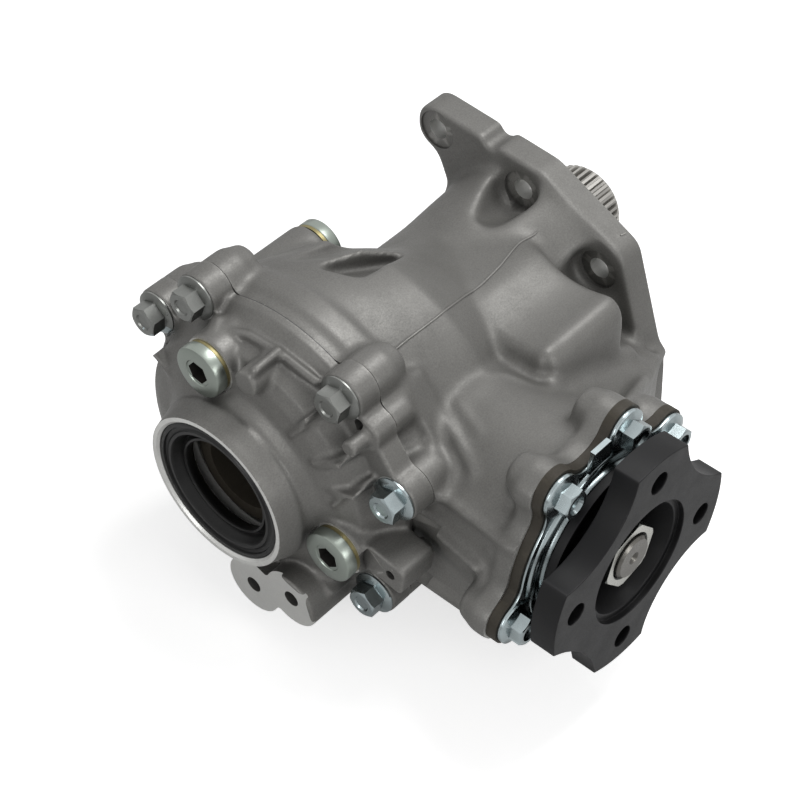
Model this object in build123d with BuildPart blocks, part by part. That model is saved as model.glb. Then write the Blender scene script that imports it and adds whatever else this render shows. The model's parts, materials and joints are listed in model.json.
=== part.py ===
"""Transfer case: a right-angle bevel gear unit that bolts to a gearbox and drives a propeller shaft.

The origin is on the input axis, in the face that meets the gearbox. +X runs along the input
axis into the gearbox, the output leaves along -Y and +Z is up. All sizes are millimetres.
"""
from build123d import *
from math import acos, atan, cos, degrees, log, pi, radians, sin, tan
import os


def polar(radius, angle):
    return (radius * cos(radians(angle)), radius * sin(radians(angle)))


# Overall layout along the input axis
pinion_x = -127.0            # crossing of the two gear axes
cover_joint_x = -175.0       # face between the housing and the side cover
cover_plate = 12.0           # thickness of the side cover at its bolts
hub_rim_x = -222.0           # machined end of the side cover's hub
flange_plate = 15.0          # thickness of the gearbox mounting flange
spigot_length = 7.0          # how far the pilot ring stands out of the mounting face
spigot_r = 36.0
shaft_end_x = 50.0           # end of the input splines

# Overall layout along the output axis
output_face_y = -135.0       # housing face that carries the pinion bearing cage
companion_face_y = -167.0    # front of the companion flange
nut_seat_y = -150.0

# Bevel gear pair
ring_teeth = 41
pinion_teeth = 16
ring_pitch_r = 62.0
gear_face = 18.0             # tooth length along the pitch cone
pressure_angle = 20.0
spiral_angle = 30.0
gear_backlash = 0.36
ring_addendum = 0.75         # tooth heights and the shift of tooth width are in modules
pinion_addendum = 1.15
tooth_clearance = 0.2
width_shift = 0.2
tooth_land = 0.8             # root cone left bare at each end of the teeth
ring_back_x = -40.0          # back of the ring gear, from the pinion axis
ring_bore_r = 41.0

# Bearings on both axes
left_bearing_x = pinion_x - 52.0     # shoulders that the large ends of the bearings stand on
right_bearing_x = pinion_x + 34.0
head_bearing_y = -70.5
tail_bearing_y = -121.5
left_cup_r = 39.0
left_journal_r = 28.0
left_rollers = 20
right_cup_r = 38.0
right_journal_r = 24.0
right_rollers = 18
case_bearing_width = 18.0
head_cup_r = 34.0
head_journal_r = 17.5
head_bearing_width = 18.0
tail_cup_r = 31.0
tail_journal_r = 15.0
tail_bearing_width = 16.0
pinion_rollers = 14
cup_lead = 2.5               # how far a cup stands back from the large end of its rollers
cup_shoulder = 5.0           # height of the shoulder behind a cup
shim = 1.5                   # preload shim behind the left case bearing

# Ring gear case and its bolts
case_left_x = pinion_x - 78.0
case_right_x = pinion_x + 56.0
case_bore_r = 20.0
case_flange = 10.0
case_flange_r = 61.0
case_collar = 5.0            # height of the shoulders that the bearing cones stand against
case_waist_x = pinion_x - 22.0
ring_bolts = 8
ring_bolt_r = 53.0
ring_bolt_core_r = 3.5
ring_bolt_clear_r = 4.3
ring_bolt_grip = 12.0
ring_bolt_head = (6.8, 10.0, 6.0)    # flange radius, width across the flats and height

# Input shaft and its seals
shaft_r = 18.0
shaft_bore_r = 14.5
shaft_left_x = pinion_x - 16.0
shaft_neck_r = 20.0
spline_r = 21.6
spline_root_r = 19.6
spline_teeth = 32
spline_length = 30.0
spline_chamfer = 2.5
spline_foot_share = 0.33     # half a spline tooth's width at its foot and tip, over the pitch
spline_crest_share = 0.17
shaft_seal_r = 32.0
shaft_seal_depth = 10.0
shaft_seal_x = -2.0
side_seal_r = 36.9
side_seal_lip_r = 24.0
side_seal_depth = 13.0
side_seal_inset = 1.5        # how far the seal lies behind the hub's rim
seal_land = 3.5              # height of the shoulder behind the side seal

# Drive pinion
pinion_collar = 4.0
pinion_spline_r = 14.0
pinion_spline_depth = 1.0
pinion_spline_teeth = 28
pinion_spline_start = 6.0    # from the tail bearing towards the head
pinion_thread_r = 11.0
pinion_thread_length = 13.5
pinion_centre_r = 3.2        # centre drilled in the end
pinion_seal_r = 31.0
pinion_seal_depth = 9.0
pinion_seal_inset = 0.5
nut_collar_r = 17.5
nut_collar = 2.5
nut_hex = 30.0
nut_height = 11.5

# Pinion bearing cage and output joint
cage_r = 37.5
cage_plate = 5.0
cage_inner_y = -68.5         # inner end of the cage's sleeve
cage_bore_y = -40.0          # inner end of its bore in the housing
output_plate = 8.0
output_ring_r = 52.0
output_bolt_r = 55.5
output_lobe_r = 11.8
output_blend_r = 12.0
output_bolt_angles = (25.0, 73.0, 120.0, 192.0, 252.0, 312.0)
output_boss_length = 17.0
output_bolt_reach = 13.0     # thread length of an output bolt in the housing
output_bolt_head = (10.6, 13.0, 8.5)
shield_sheet = 1.6           # zinc plated sheet under the output bolts
shield_inset = 1.2
shield_bore_r = 38.0
shield_rim = 3.5

# Companion flange
companion_plate = 13.0
companion_pcd = 92.5
companion_hole_r = 5.5
companion_lobe_r = 60.0
companion_lobe_half = 17.5   # half the angle that a lobe spans
companion_scallops = (41.5, 47.0)
companion_turn = 81.3        # angle of its first bolt hole
companion_recess_r = 31.5
companion_recess = 3.0
companion_step = 3.0         # width of the step in the recess
companion_hub_r = 25.0
deflector_sheet = 1.2
deflector_r = 43.2
deflector_depth = 12.5

# Side cover joint
cover_ring_r = 70.5          # front edge of the cover between its lobes
cover_rim_r = 77.0           # outside of the joint between the lobes
cover_bolt_r = 81.5          # radius of the bolt positions
cover_lobe_r = 11.6
cover_bolt_angles = (32.5, 60.0, 125.0, 162.0, 217.5, 277.0, 318.0)
cover_bolt_reach = 13.0      # thread length of a cover bolt in the housing
cover_bolt_head = 9.5
cover_boss_length = 21.0
housing_plate = 12.0
dowel_angles = (139.0, 303.0)
dowel_circle_r = 80.0
dowel_r = 3.0
dowel_length = 15.0
dowel_lobe_r = 7.5
lobe_blend_r = 3.5
chamber_r = 70.0             # ring gear chamber
chamber_depth = 8.0          # straight part of the chamber in the cover
cup_wall = 6.0               # wall round the bearing cup's seat in the cover
sealant_gap = 0.4
bridge_angles = (134.0, 155.0)   # the cover's edge between two lobes reaches out here
bridge_r = 85.0
bridge_round = 5.0
shoulder_gap = 15.0          # from the joint to the drum's shoulder behind that bridge
shoulder_length = 15.0
shoulder_round = 6.0

# Side cover forms
hub_rim_r = 39.6
plug_seat_x = pinion_x - 76.0
plug_centres = (polar(58.8, 73.0), polar(58.8, 189.0))
plug_boss_r = 14.2
bracket_face_x = pinion_x - 85.0
bracket_holes = ((-10.0, -66.0), (-35.0, -56.0))
bracket_boss_r = 9.2
bracket_waist_r = 6.5
bracket_thread = 18.0
lug_face_x = pinion_x - 72.0
lug_centre = (-85.0, -10.0)
lug_sides = (23.0, 16.0)
lug_corner_r = 3.0
lug_offset = 4.0             # from its threaded hole to the middle of its face
lug_turn = 8.0
lug_core_r = 2.5
lug_thread = 12.0
lug_depth = 17.0
blank_boss_centre = (-9.0, 62.0)
blank_boss_r = 5.6
blank_boss_x = pinion_x - 75.0
cover_rib_angles = (30.0, 124.0, 143.5, 157.0, 225.0, 300.0)
cover_rib_x = pinion_x - 74.5
cover_rib_r = (53.0, 72.0)   # inner and outer end of a rib
cover_rib_sheet = 2.4

# Housing casting
drum_r = 79.0                # housing drum around the ring gear
drum_end_x = pinion_x - 29.0
neck_r = 45.0                # housing neck behind the mounting flange
neck_bore_r = 35.0
neck_start_x = pinion_x + 50.0
flange_front_x = -flange_plate
flange_outline = (
    (62.0, 71.0), (-16.0, 65.5), (-66.0, 42.0), (-88.0, -24.0), (-91.0, -76.0), (-4.0, -82.0),
    (57.0, -62.0), (57.0, -36.0), (40.0, -22.0), (40.0, 22.0), (50.0, 45.0), (62.0, 46.0),
)
flange_corner_r = 11.0
flange_notch_centre = (15.6, 70.0)
flange_notch = (10.0, 12.5)  # width and height of the notch in the flange's top edge
flange_holes = ((49.0, 58.0), (-5.6, 50.0), (-54.0, 28.0), (-77.0, -62.0), (-8.0, -67.0), (44.0, -49.0))
flange_spotface_r = 10.5
flange_spotface = 0.8        # depth of the spotfaces
collar_seat_r = 16.0         # hollow round a flange bolt, at the flange and its depth into the collar
collar_seat_depth = 30.0
collar_seat_taper = 20.0
pinion_tube_r = 42.5
pinion_tube_end_r = 51.0
pinion_tube_flare_y = -66.0  # where the tube starts to widen towards the output
web_tube_r = 44.0
web_start_y = -35.0
web_end_y = -128.0
web_edge = ((-40.0, -35.0), (112.0, -35.0), (112.0, -95.0), (26.0, -133.0), (-40.0, -133.0))
web_corners = ((108.0, -12.0), (108.0, -58.0))
web_corner_r = 9.0
web_wall_y = (-62.0, -127.0)
web_wall_corner = (-40.0, -37.0)
web_wall_r = 7.0
tube_ridges = ((152.0, -78.0, -133.0), (174.0, -78.0, -120.0))   # angle round the tube, start and end
ridge_height = 4.0
ridge_sheet = 2.6
bulge_start_x = pinion_x + 30.0
bulge_length = 56.0
bulge_corners = ((-77.0, 36.0), (-77.0, -20.0), (-36.0, 36.0))
bulge_corner_r = 14.0
bulge_round = 8.0
saddle_r = 42.0              # hollow along the top of the bulge beside the neck
saddle_centre = (-63.0, 86.5)
boss_taper = 16.0            # degrees, on the backs of the bolt bosses
boss_reach = 20.0            # how far a bolt boss runs inwards, to the wall that carries it
rear_plug_centre = (49.0, 39.0)
rear_plug_seat_x = pinion_x + 22.0
rear_boss_length = 52.0

# Fasteners, plugs and fits
m10_clear_r = 5.5
m10_core_r = 4.25
m10_hex = 14.0
m10_flange_r = 11.0
bolt_flange_sheet = 2.2
bolt_dish = 1.2              # depth of the dish in a bolt's head
bolt_dish_share = 0.65       # its radius over half the width across the flats
hole_runout = 2.5            # how much deeper a hole is drilled than its bolt reaches
spotface_gap = 0.8           # how much wider a spotface is than the head that sits in it
plug_head_r = 13.1
plug_thread_r = 9.0
plug_head = 6.0
plug_hex = 10.0
plug_shank = 12.0
plug_edge = 0.8
washer_sheet = 1.8
groove_depth = 2.0           # of both ring grooves
ring_squeeze = 0.1           # room beside and outside a ring in its groove
spigot_ring = 2.4            # widths of the two rings
spigot_groove_x = 2.0
cage_ring = 2.6
cage_groove_y = output_face_y + 8.0
press_gap = 0.02             # radial gap where one piece is pressed or slid into another
running_gap = 0.04           # radial gap where one piece turns in another

# Places that follow from the sizes above
cage_face_y = output_face_y - cage_plate
cover_seat_x = cover_joint_x - cover_plate
shaft_shoulder_x = case_right_x + 1.0
left_cup_end = left_bearing_x - case_bearing_width - cup_lead / 2
right_cup_end = right_bearing_x + case_bearing_width + cup_lead / 2
head_cup_end = head_bearing_y - head_bearing_width - cup_lead / 2
tail_cup_end = tail_bearing_y + tail_bearing_width + cup_lead / 2
spacer_length = head_bearing_y - head_bearing_width - tail_bearing_y - tail_bearing_width


def x_plane(x):
    """Sketch plane across the input axis: its own axes are Y and Z."""
    return Plane(origin=(x, 0, 0), x_dir=(0, 1, 0), z_dir=(1, 0, 0))


def y_plane(y):
    """Sketch plane across the output axis, facing outwards: its own axes are X and Z."""
    return Plane(origin=(pinion_x, y, 0), x_dir=(1, 0, 0), z_dir=(0, -1, 0))


def turned(base, *profile):
    """A solid turned about the base plane's normal, from points of (radius, distance along it)."""
    section = Plane(origin=base.origin, x_dir=base.x_dir, z_dir=base.x_dir.cross(base.z_dir))
    with BuildPart() as piece:
        with BuildSketch(section):
            with BuildLine():
                Polyline(*profile, close=True)
            make_face()
        revolve(axis=Axis(base.origin, base.z_dir))
    return piece.part


def ring(base, outer_r, inner_r, length):
    with BuildPart() as piece:
        with BuildSketch(base):
            Circle(outer_r)
            Circle(inner_r, mode=Mode.SUBTRACT)
        extrude(amount=length)
    return piece.part


def rod(base, centre, radius, length):
    with BuildPart() as piece:
        with BuildSketch(base):
            with Locations(centre):
                Circle(radius)
        extrude(amount=length)
    return piece.part


# Taper roller bearings

class TaperBearing:
    """A taper roller bearing on a base plane whose normal points from its large end to its small end."""

    outer_angle = 15.0
    roller_share = 0.4       # roller diameter over the room between bore and outside
    roller_gap = 0.03
    end_gap = 1.0            # from a roller's large end to the cone's rib, and half as much at the small

    def __init__(self, base, bore_r, outer_r, width, rollers):
        self.base = base
        self.bore_r = bore_r
        self.outer_r = outer_r
        self.width = width
        self.rollers = rollers
        middle_r = (bore_r + outer_r) / 2
        self.half_roller = (outer_r - bore_r) * self.roller_share / 2
        apex = width / 2 + (middle_r + self.half_roller) / tan(radians(self.outer_angle))
        self.apex = apex
        self.inner_angle = degrees(atan((middle_r - self.half_roller) / (apex - width / 2)))

    def race_r(self, angle, distance):
        return (self.apex - distance) * tan(radians(angle))

    def speed_share(self):
        """Speed of the cage over the speed of the inner race, with the outer race still."""
        inner = self.race_r(self.inner_angle, self.width / 2)
        outer = self.race_r(self.outer_angle, self.width / 2)
        return inner / (inner + outer)

    def cone(self):
        rib = self.half_roller * 0.7
        start = self.race_r(self.inner_angle, rib)
        end = self.race_r(self.inner_angle, self.width - rib)
        return turned(
            self.base,
            (self.bore_r, 0),
            (start + rib, 0),
            (start + rib, rib),
            (start, rib),
            (end, self.width - rib),
            (end + rib / 3, self.width - rib),
            (end + rib / 3, self.width),
            (self.bore_r, self.width),
        )

    def cup(self):
        end = self.width + cup_lead / 2
        return turned(
            self.base,
            (self.race_r(self.outer_angle, cup_lead), cup_lead),
            (self.outer_r - press_gap, cup_lead),
            (self.outer_r - press_gap, end),
            (self.race_r(self.outer_angle, end), end),
        )

    def roller_frame(self, index):
        """Plane at the bearing's apex whose normal runs along one roller's centre line."""
        lean = radians((self.inner_angle + self.outer_angle) / 2)
        turn = 360 / self.rollers * index
        across = self.base.x_dir.rotate(Axis((0, 0, 0), self.base.z_dir), turn)
        line = across * sin(lean) - self.base.z_dir * cos(lean)
        return Plane(origin=self.base.origin + self.base.z_dir * self.apex, z_dir=line)

    def roller_set(self, grow=0.0):
        half = radians((self.outer_angle - self.inner_angle) / 2)
        lean = radians((self.inner_angle + self.outer_angle) / 2)
        rib = self.half_roller * 0.7
        small = (self.apex - self.width + rib + self.end_gap / 2 - grow) / cos(lean)
        large = (self.apex - rib - self.end_gap + grow) / cos(lean)
        offset = grow - self.roller_gap
        with BuildPart() as piece:
            for index in range(self.rollers):
                with BuildSketch(self.roller_frame(index).offset(small)):
                    Circle(small * tan(half) + offset)
                extrude(amount=large - small, taper=-degrees(half))
        return piece.part

    def cage(self):
        sheet = self.half_roller * 0.4
        lean = (self.inner_angle + self.outer_angle) / 2
        margin = 0.8
        start = self.race_r(lean, margin) - sheet / 2
        end = self.race_r(lean, self.width - margin) - sheet / 2
        body = turned(
            self.base,
            (start, margin),
            (start + sheet, margin),
            (end + sheet, self.width - margin),
            (end, self.width - margin),
        )
        with BuildPart() as piece:
            add(body)
            add(self.roller_set(grow=0.25), mode=Mode.SUBTRACT)
        return piece.part


left_bearing_base = Plane(origin=(left_bearing_x, 0, 0), x_dir=(0, 0, 1), z_dir=(-1, 0, 0))
right_bearing_base = Plane(origin=(right_bearing_x, 0, 0), x_dir=(0, 0, 1), z_dir=(1, 0, 0))
head_bearing_base = Plane(origin=(pinion_x, head_bearing_y, 0), x_dir=(0, 0, 1), z_dir=(0, -1, 0))
tail_bearing_base = Plane(origin=(pinion_x, tail_bearing_y, 0), x_dir=(0, 0, 1), z_dir=(0, 1, 0))
bearings = {
    "case_left": TaperBearing(
        left_bearing_base, left_journal_r, left_cup_r, case_bearing_width, left_rollers,
    ),
    "case_right": TaperBearing(
        right_bearing_base, right_journal_r, right_cup_r, case_bearing_width, right_rollers,
    ),
    "pinion_head": TaperBearing(
        head_bearing_base, head_journal_r, head_cup_r, head_bearing_width, pinion_rollers,
    ),
    "pinion_tail": TaperBearing(
        tail_bearing_base, tail_journal_r, tail_cup_r, tail_bearing_width, pinion_rollers,
    ),
}


# Spiral bevel gears

ratio = ring_teeth / pinion_teeth
module = 2 * ring_pitch_r / ring_teeth
ring_cone = degrees(atan(ratio))
pinion_cone = 90 - ring_cone
cone_distance = ring_pitch_r / sin(radians(ring_cone))
spiral_twist = tan(radians(spiral_angle)) / sin(radians(ring_cone))


def involute(angle):
    return tan(angle) - angle


def tooth_point(distance, cone, teeth, height, shift):
    """Half width and height above the pitch cone of a tooth flank, on the back cone at a distance."""
    scale = distance / cone_distance
    virtual_r = distance * tan(radians(cone))
    flank_angle = radians(pressure_angle)
    base_r = virtual_r * cos(flank_angle)
    radius = virtual_r + height * module * scale
    width = (pi / 2 * module + 2 * shift * module * tan(flank_angle)) * scale - gear_backlash / 2
    reach = max(radius, base_r)
    half = width / (2 * virtual_r) + involute(flank_angle) - involute(acos(base_r / reach))
    return radius * sin(half), radius * cos(half) - virtual_r


def bevel_tooth(axis, across, cone, teeth, addendum, dedendum, shift, twist, start_angle):
    """One spiral tooth, lofted through sections at four distances from the apex."""
    apex = Vector(pinion_x, 0, 0)
    sections = 4
    with BuildPart() as tooth:
        for index in range(sections):
            distance = cone_distance - gear_face * index / (sections - 1)
            spiral = twist * log(distance / (cone_distance - gear_face / 2))
            turn = start_angle + degrees(spiral)
            outward = across.rotate(Axis((0, 0, 0), axis), turn)
            along = axis * cos(radians(cone)) + outward * sin(radians(cone))
            sideways = axis.cross(outward)
            frame = Plane(origin=apex + along * distance, x_dir=sideways, z_dir=along)
            rise = 1 if (frame.y_dir.dot(outward) > 0) else -1
            root_x, root_y = tooth_point(distance, cone, teeth, -dedendum - 0.15, shift)
            mid_x, mid_y = tooth_point(distance, cone, teeth, (addendum - dedendum) / 2, shift)
            tip_x, tip_y = tooth_point(distance, cone, teeth, addendum, shift)
            with BuildSketch(frame):
                with BuildLine():
                    ThreePointArc((root_x, rise * root_y), (mid_x, rise * mid_y), (tip_x, rise * tip_y))
                    Line((tip_x, rise * tip_y), (-tip_x, rise * tip_y))
                    ThreePointArc((-tip_x, rise * tip_y), (-mid_x, rise * mid_y), (-root_x, rise * root_y))
                    Line((-root_x, rise * root_y), (root_x, rise * root_y))
                make_face()
        loft()
    return tooth.part


def cone_point(cone, distance, height):
    """Radius and distance from the apex along the axis, of a height above the pitch cone."""
    angle = radians(cone)
    return (
        distance * sin(angle) + height * cos(angle),
        distance * cos(angle) - height * sin(angle),
    )


def toothed(blank, axis, across, cone, teeth, addendum, dedendum, shift, twist, start_angle):
    tooth = bevel_tooth(axis, across, cone, teeth, addendum, dedendum, shift, twist, start_angle)
    centre = Axis((pinion_x, 0, 0), axis)
    with BuildPart() as gear:
        add(blank)
        add([tooth.rotate(centre, 360 / teeth * index) for index in range(teeth)])
    return gear.part


def make_ring_gear():
    """Crown wheel on the side of the cover, its teeth facing the pinion."""
    dedendum = pinion_addendum + tooth_clearance
    base = Plane(origin=(pinion_x, 0, 0), x_dir=(0, 0, 1), z_dir=(-1, 0, 0))
    outer_r, outer_a = cone_point(ring_cone, cone_distance + tooth_land, -dedendum * module)
    toe = cone_distance - gear_face - tooth_land
    inner_r, inner_a = cone_point(ring_cone, toe, -dedendum * module * toe / cone_distance)
    back = -ring_back_x
    blank = turned(
        base,
        (outer_r, outer_a),
        (outer_r + 1.2, outer_a + 3.0),
        (outer_r + 1.2, back - 1.5),
        (outer_r - 0.3, back),
        (ring_bore_r + press_gap, back),
        (ring_bore_r + press_gap, inner_a + 2.0),
        (inner_r - 1.0, inner_a + 0.6),
        (inner_r, inner_a),
    )
    gear = toothed(
        blank, Vector(-1, 0, 0), Vector(0, -1, 0), ring_cone, ring_teeth,
        ring_addendum, dedendum, -width_shift, -spiral_twist, 0,
    )
    with BuildPart() as ring_gear:
        add(gear)
        with BuildSketch(x_plane(pinion_x + ring_back_x)):
            with PolarLocations(ring_bolt_r, ring_bolts):
                Circle(ring_bolt_core_r)
        extrude(amount=ring_bolt_grip, mode=Mode.SUBTRACT)
    return ring_gear.part


def make_drive_pinion():
    """Pinion head, bearing journals, splines for the companion flange and threaded end."""
    dedendum = ring_addendum + tooth_clearance
    base = Plane(origin=(pinion_x, 0, 0), x_dir=(0, 0, 1), z_dir=(0, -1, 0))
    toe = cone_distance - gear_face - tooth_land
    heel_r, heel_a = cone_point(pinion_cone, cone_distance + tooth_land, -dedendum * module)
    toe_r, toe_a = cone_point(pinion_cone, toe, -dedendum * module * toe / cone_distance)
    end = -nut_seat_y + pinion_thread_length
    core_r = pinion_spline_r - pinion_spline_depth + 0.1
    blank = turned(
        base,
        (0, toe_a - 1.0),
        (toe_r - 2.0, toe_a - 1.0),
        (toe_r, toe_a),
        (heel_r, heel_a),
        (heel_r, -head_bearing_y - 1.5),
        (head_journal_r + pinion_collar, -head_bearing_y),
        (head_journal_r, -head_bearing_y),
        (head_journal_r, -head_bearing_y + head_bearing_width + 2),
        (tail_journal_r, -head_bearing_y + head_bearing_width + 4),
        (tail_journal_r, -tail_bearing_y - 0.5),
        (core_r, -tail_bearing_y - 0.5),
        (core_r, -nut_seat_y - 1.5),
        (pinion_thread_r, -nut_seat_y - 1.0),
        (pinion_thread_r, end - 1.2),
        (pinion_thread_r - 1.2, end),
        (pinion_centre_r, end),
        (0, end - pinion_centre_r),
    )
    gear = toothed(
        blank, Vector(0, -1, 0), Vector(-1, 0, 0), pinion_cone, pinion_teeth,
        pinion_addendum, dedendum, width_shift, spiral_twist * ratio, 180 / pinion_teeth,
    )
    spline = spline_bar(
        y_plane(tail_bearing_y - pinion_spline_start), -nut_seat_y + tail_bearing_y - pinion_spline_start - 2,
        pinion_spline_r, pinion_spline_r - pinion_spline_depth, 0, pinion_spline_teeth,
    )
    with BuildPart() as drive_pinion:
        add(gear)
        add(spline)
    return drive_pinion.part


def spline_bar(base, length, tip_r, root_r, bore_r, teeth):
    """A bar with straight splines all round; a bore radius of zero leaves it solid."""
    foot = spline_foot_share * 360 / teeth
    crest = spline_crest_share * 360 / teeth
    outline = []
    for index in range(teeth):
        middle = 360 / teeth * index
        outline += [polar(root_r, middle - foot), polar(tip_r, middle - crest)]
        outline += [polar(tip_r, middle + crest), polar(root_r, middle + foot)]
    with BuildPart() as bar:
        with BuildSketch(base):
            with BuildLine():
                Polyline(*outline, close=True)
            make_face()
            if bore_r > 0:
                Circle(bore_r, mode=Mode.SUBTRACT)
        extrude(amount=length)
    return bar.part


# Input shaft group

def make_ring_gear_case():
    """Hollow case that carries the ring gear between its two bearings."""
    base = x_plane(0)
    flange_x = pinion_x + ring_back_x - case_flange
    body = turned(
        base,
        (case_bore_r, case_left_x),
        (left_journal_r - 1, case_left_x),
        (left_journal_r, case_left_x + 1),
        (left_journal_r, left_bearing_x),
        (left_journal_r + case_collar, left_bearing_x),
        (left_journal_r + case_collar + 1, flange_x),
        (case_flange_r, flange_x),
        (case_flange_r, flange_x + case_flange),
        (ring_bore_r, flange_x + case_flange),
        (ring_bore_r, flange_x + case_flange + 8),
        (ring_bore_r - 5, flange_x + case_flange + 10),
        (right_journal_r + case_collar, case_waist_x),
        (right_journal_r + case_collar - 1, right_bearing_x),
        (right_journal_r, right_bearing_x),
        (right_journal_r, case_right_x - 1),
        (right_journal_r - 1, case_right_x),
        (shaft_r + press_gap, case_right_x),
        (shaft_r + press_gap, shaft_left_x - 3),
        (case_bore_r, shaft_left_x - 6),
    )
    with BuildPart() as ring_gear_case:
        add(body)
        with BuildSketch(x_plane(flange_x)):
            with PolarLocations(ring_bolt_r, ring_bolts):
                Circle(ring_bolt_clear_r)
        extrude(amount=case_flange, mode=Mode.SUBTRACT)
    return ring_gear_case.part


def make_input_shaft():
    """Hollow shaft with the external splines that enter the gearbox; a half shaft runs through it."""
    body = turned(
        x_plane(0),
        (shaft_bore_r, shaft_left_x),
        (shaft_r - 1, shaft_left_x),
        (shaft_r, shaft_left_x + 1),
        (shaft_r, shaft_shoulder_x),
        (shaft_neck_r, shaft_shoulder_x),
        (shaft_neck_r, shaft_end_x - spline_length - 4),
        (spline_root_r - 0.4, shaft_end_x - spline_length - 3),
        (spline_root_r - 0.4, shaft_end_x - spline_length),
        (spline_root_r - 2, shaft_end_x - spline_length + 1),
        (shaft_bore_r, shaft_end_x - spline_length + 1),
    )
    bar = spline_bar(
        x_plane(shaft_end_x - spline_length), spline_length,
        spline_r, spline_root_r, shaft_bore_r, spline_teeth,
    )
    chamfer_body = turned(
        x_plane(0),
        (shaft_bore_r, shaft_end_x - spline_length),
        (spline_root_r, shaft_end_x - spline_length),
        (spline_r + 0.1, shaft_end_x - spline_length + spline_chamfer),
        (spline_r + 0.1, shaft_end_x - spline_chamfer),
        (spline_root_r - 0.3, shaft_end_x),
        (shaft_bore_r + 1.5, shaft_end_x),
        (shaft_bore_r, shaft_end_x - 1.5),
    )
    with BuildPart() as splines:
        add(bar)
        add(chamfer_body, mode=Mode.INTERSECT)
    with BuildPart() as input_shaft:
        add(body)
        add(splines.part)
    return input_shaft.part


def flanged_bolt(base, centre, shank_r, shank, flange_r, hex_width, head):
    """Hexagon bolt with a flange; the base plane faces away from the head, at the flange's seat."""
    outward = Plane(origin=base.origin, x_dir=base.x_dir, z_dir=-base.z_dir)
    mirrored = (centre[0], -centre[1])
    with BuildPart() as bolt:
        with BuildSketch(base):
            with Locations(centre):
                Circle(shank_r)
        extrude(amount=shank)
        with BuildSketch(outward):
            with Locations(mirrored):
                Circle(flange_r)
        extrude(amount=bolt_flange_sheet, taper=boss_taper)
        with BuildSketch(outward.offset(bolt_flange_sheet)):
            with Locations(mirrored):
                RegularPolygon(hex_width / 2, 6, major_radius=False)
        extrude(amount=head - bolt_flange_sheet)
        with BuildSketch(outward.offset(head)):
            with Locations(mirrored):
                Circle(hex_width / 2 * bolt_dish_share)
        extrude(amount=-bolt_dish, mode=Mode.SUBTRACT)
    return bolt.part


def make_ring_gear_bolts():
    flange_x = pinion_x + ring_back_x - case_flange
    pieces = []
    for index in range(ring_bolts):
        centre = polar(ring_bolt_r, 360 / ring_bolts * index)
        pieces.append(flanged_bolt(
            x_plane(flange_x), centre, ring_bolt_core_r - press_gap, case_flange + ring_bolt_grip - 1,
            *ring_bolt_head,
        ))
    return Compound(children=pieces)


# Castings

def lobed_plate(x, thickness):
    """Round joint flange with a lobe at each bolt and each dowel."""
    with BuildPart() as plate:
        with BuildSketch(x_plane(x)):
            Circle(cover_ring_r + 1)
            for angle in cover_bolt_angles:
                with Locations(polar(cover_bolt_r, angle)):
                    Circle(cover_lobe_r)
            for angle in dowel_angles:
                with Locations(polar(dowel_circle_r, angle)):
                    Circle(dowel_lobe_r)
            offset(amount=lobe_blend_r, mode=Mode.REPLACE)
            offset(amount=-lobe_blend_r, mode=Mode.REPLACE)
            Circle(chamber_r, mode=Mode.SUBTRACT)
        extrude(amount=thickness)
    return plate.part


def cover_bolt_holes(x, depth, radius):
    with BuildPart() as holes:
        with BuildSketch(x_plane(x)):
            for angle in cover_bolt_angles:
                with Locations(polar(cover_bolt_r, angle)):
                    Circle(radius)
        extrude(amount=depth)
    return holes.part


def dowel_holes():
    """Holes for the dowels, as deep in the cover as in the housing."""
    with BuildPart() as holes:
        with BuildSketch(x_plane(cover_joint_x)):
            for angle in dowel_angles:
                with Locations(polar(dowel_circle_r, angle)):
                    Circle(dowel_r + press_gap)
        extrude(amount=dowel_length / 2 + 0.5, both=True)
    return holes.part


def cover_cavity():
    """Hollow between the bearing seat's wall and the rim of the cover."""
    return turned(
        x_plane(0),
        (left_cup_r + cup_wall, cover_joint_x + 1),
        (chamber_r, cover_joint_x + 1),
        (chamber_r, cover_joint_x - chamber_depth),
        (chamber_r - 6, cover_joint_x - chamber_depth - 6),
        (left_cup_r + cup_wall + 2, cover_joint_x - chamber_depth - 9),
        (left_cup_r + cup_wall, cover_joint_x - chamber_depth - 7),
    )


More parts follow.
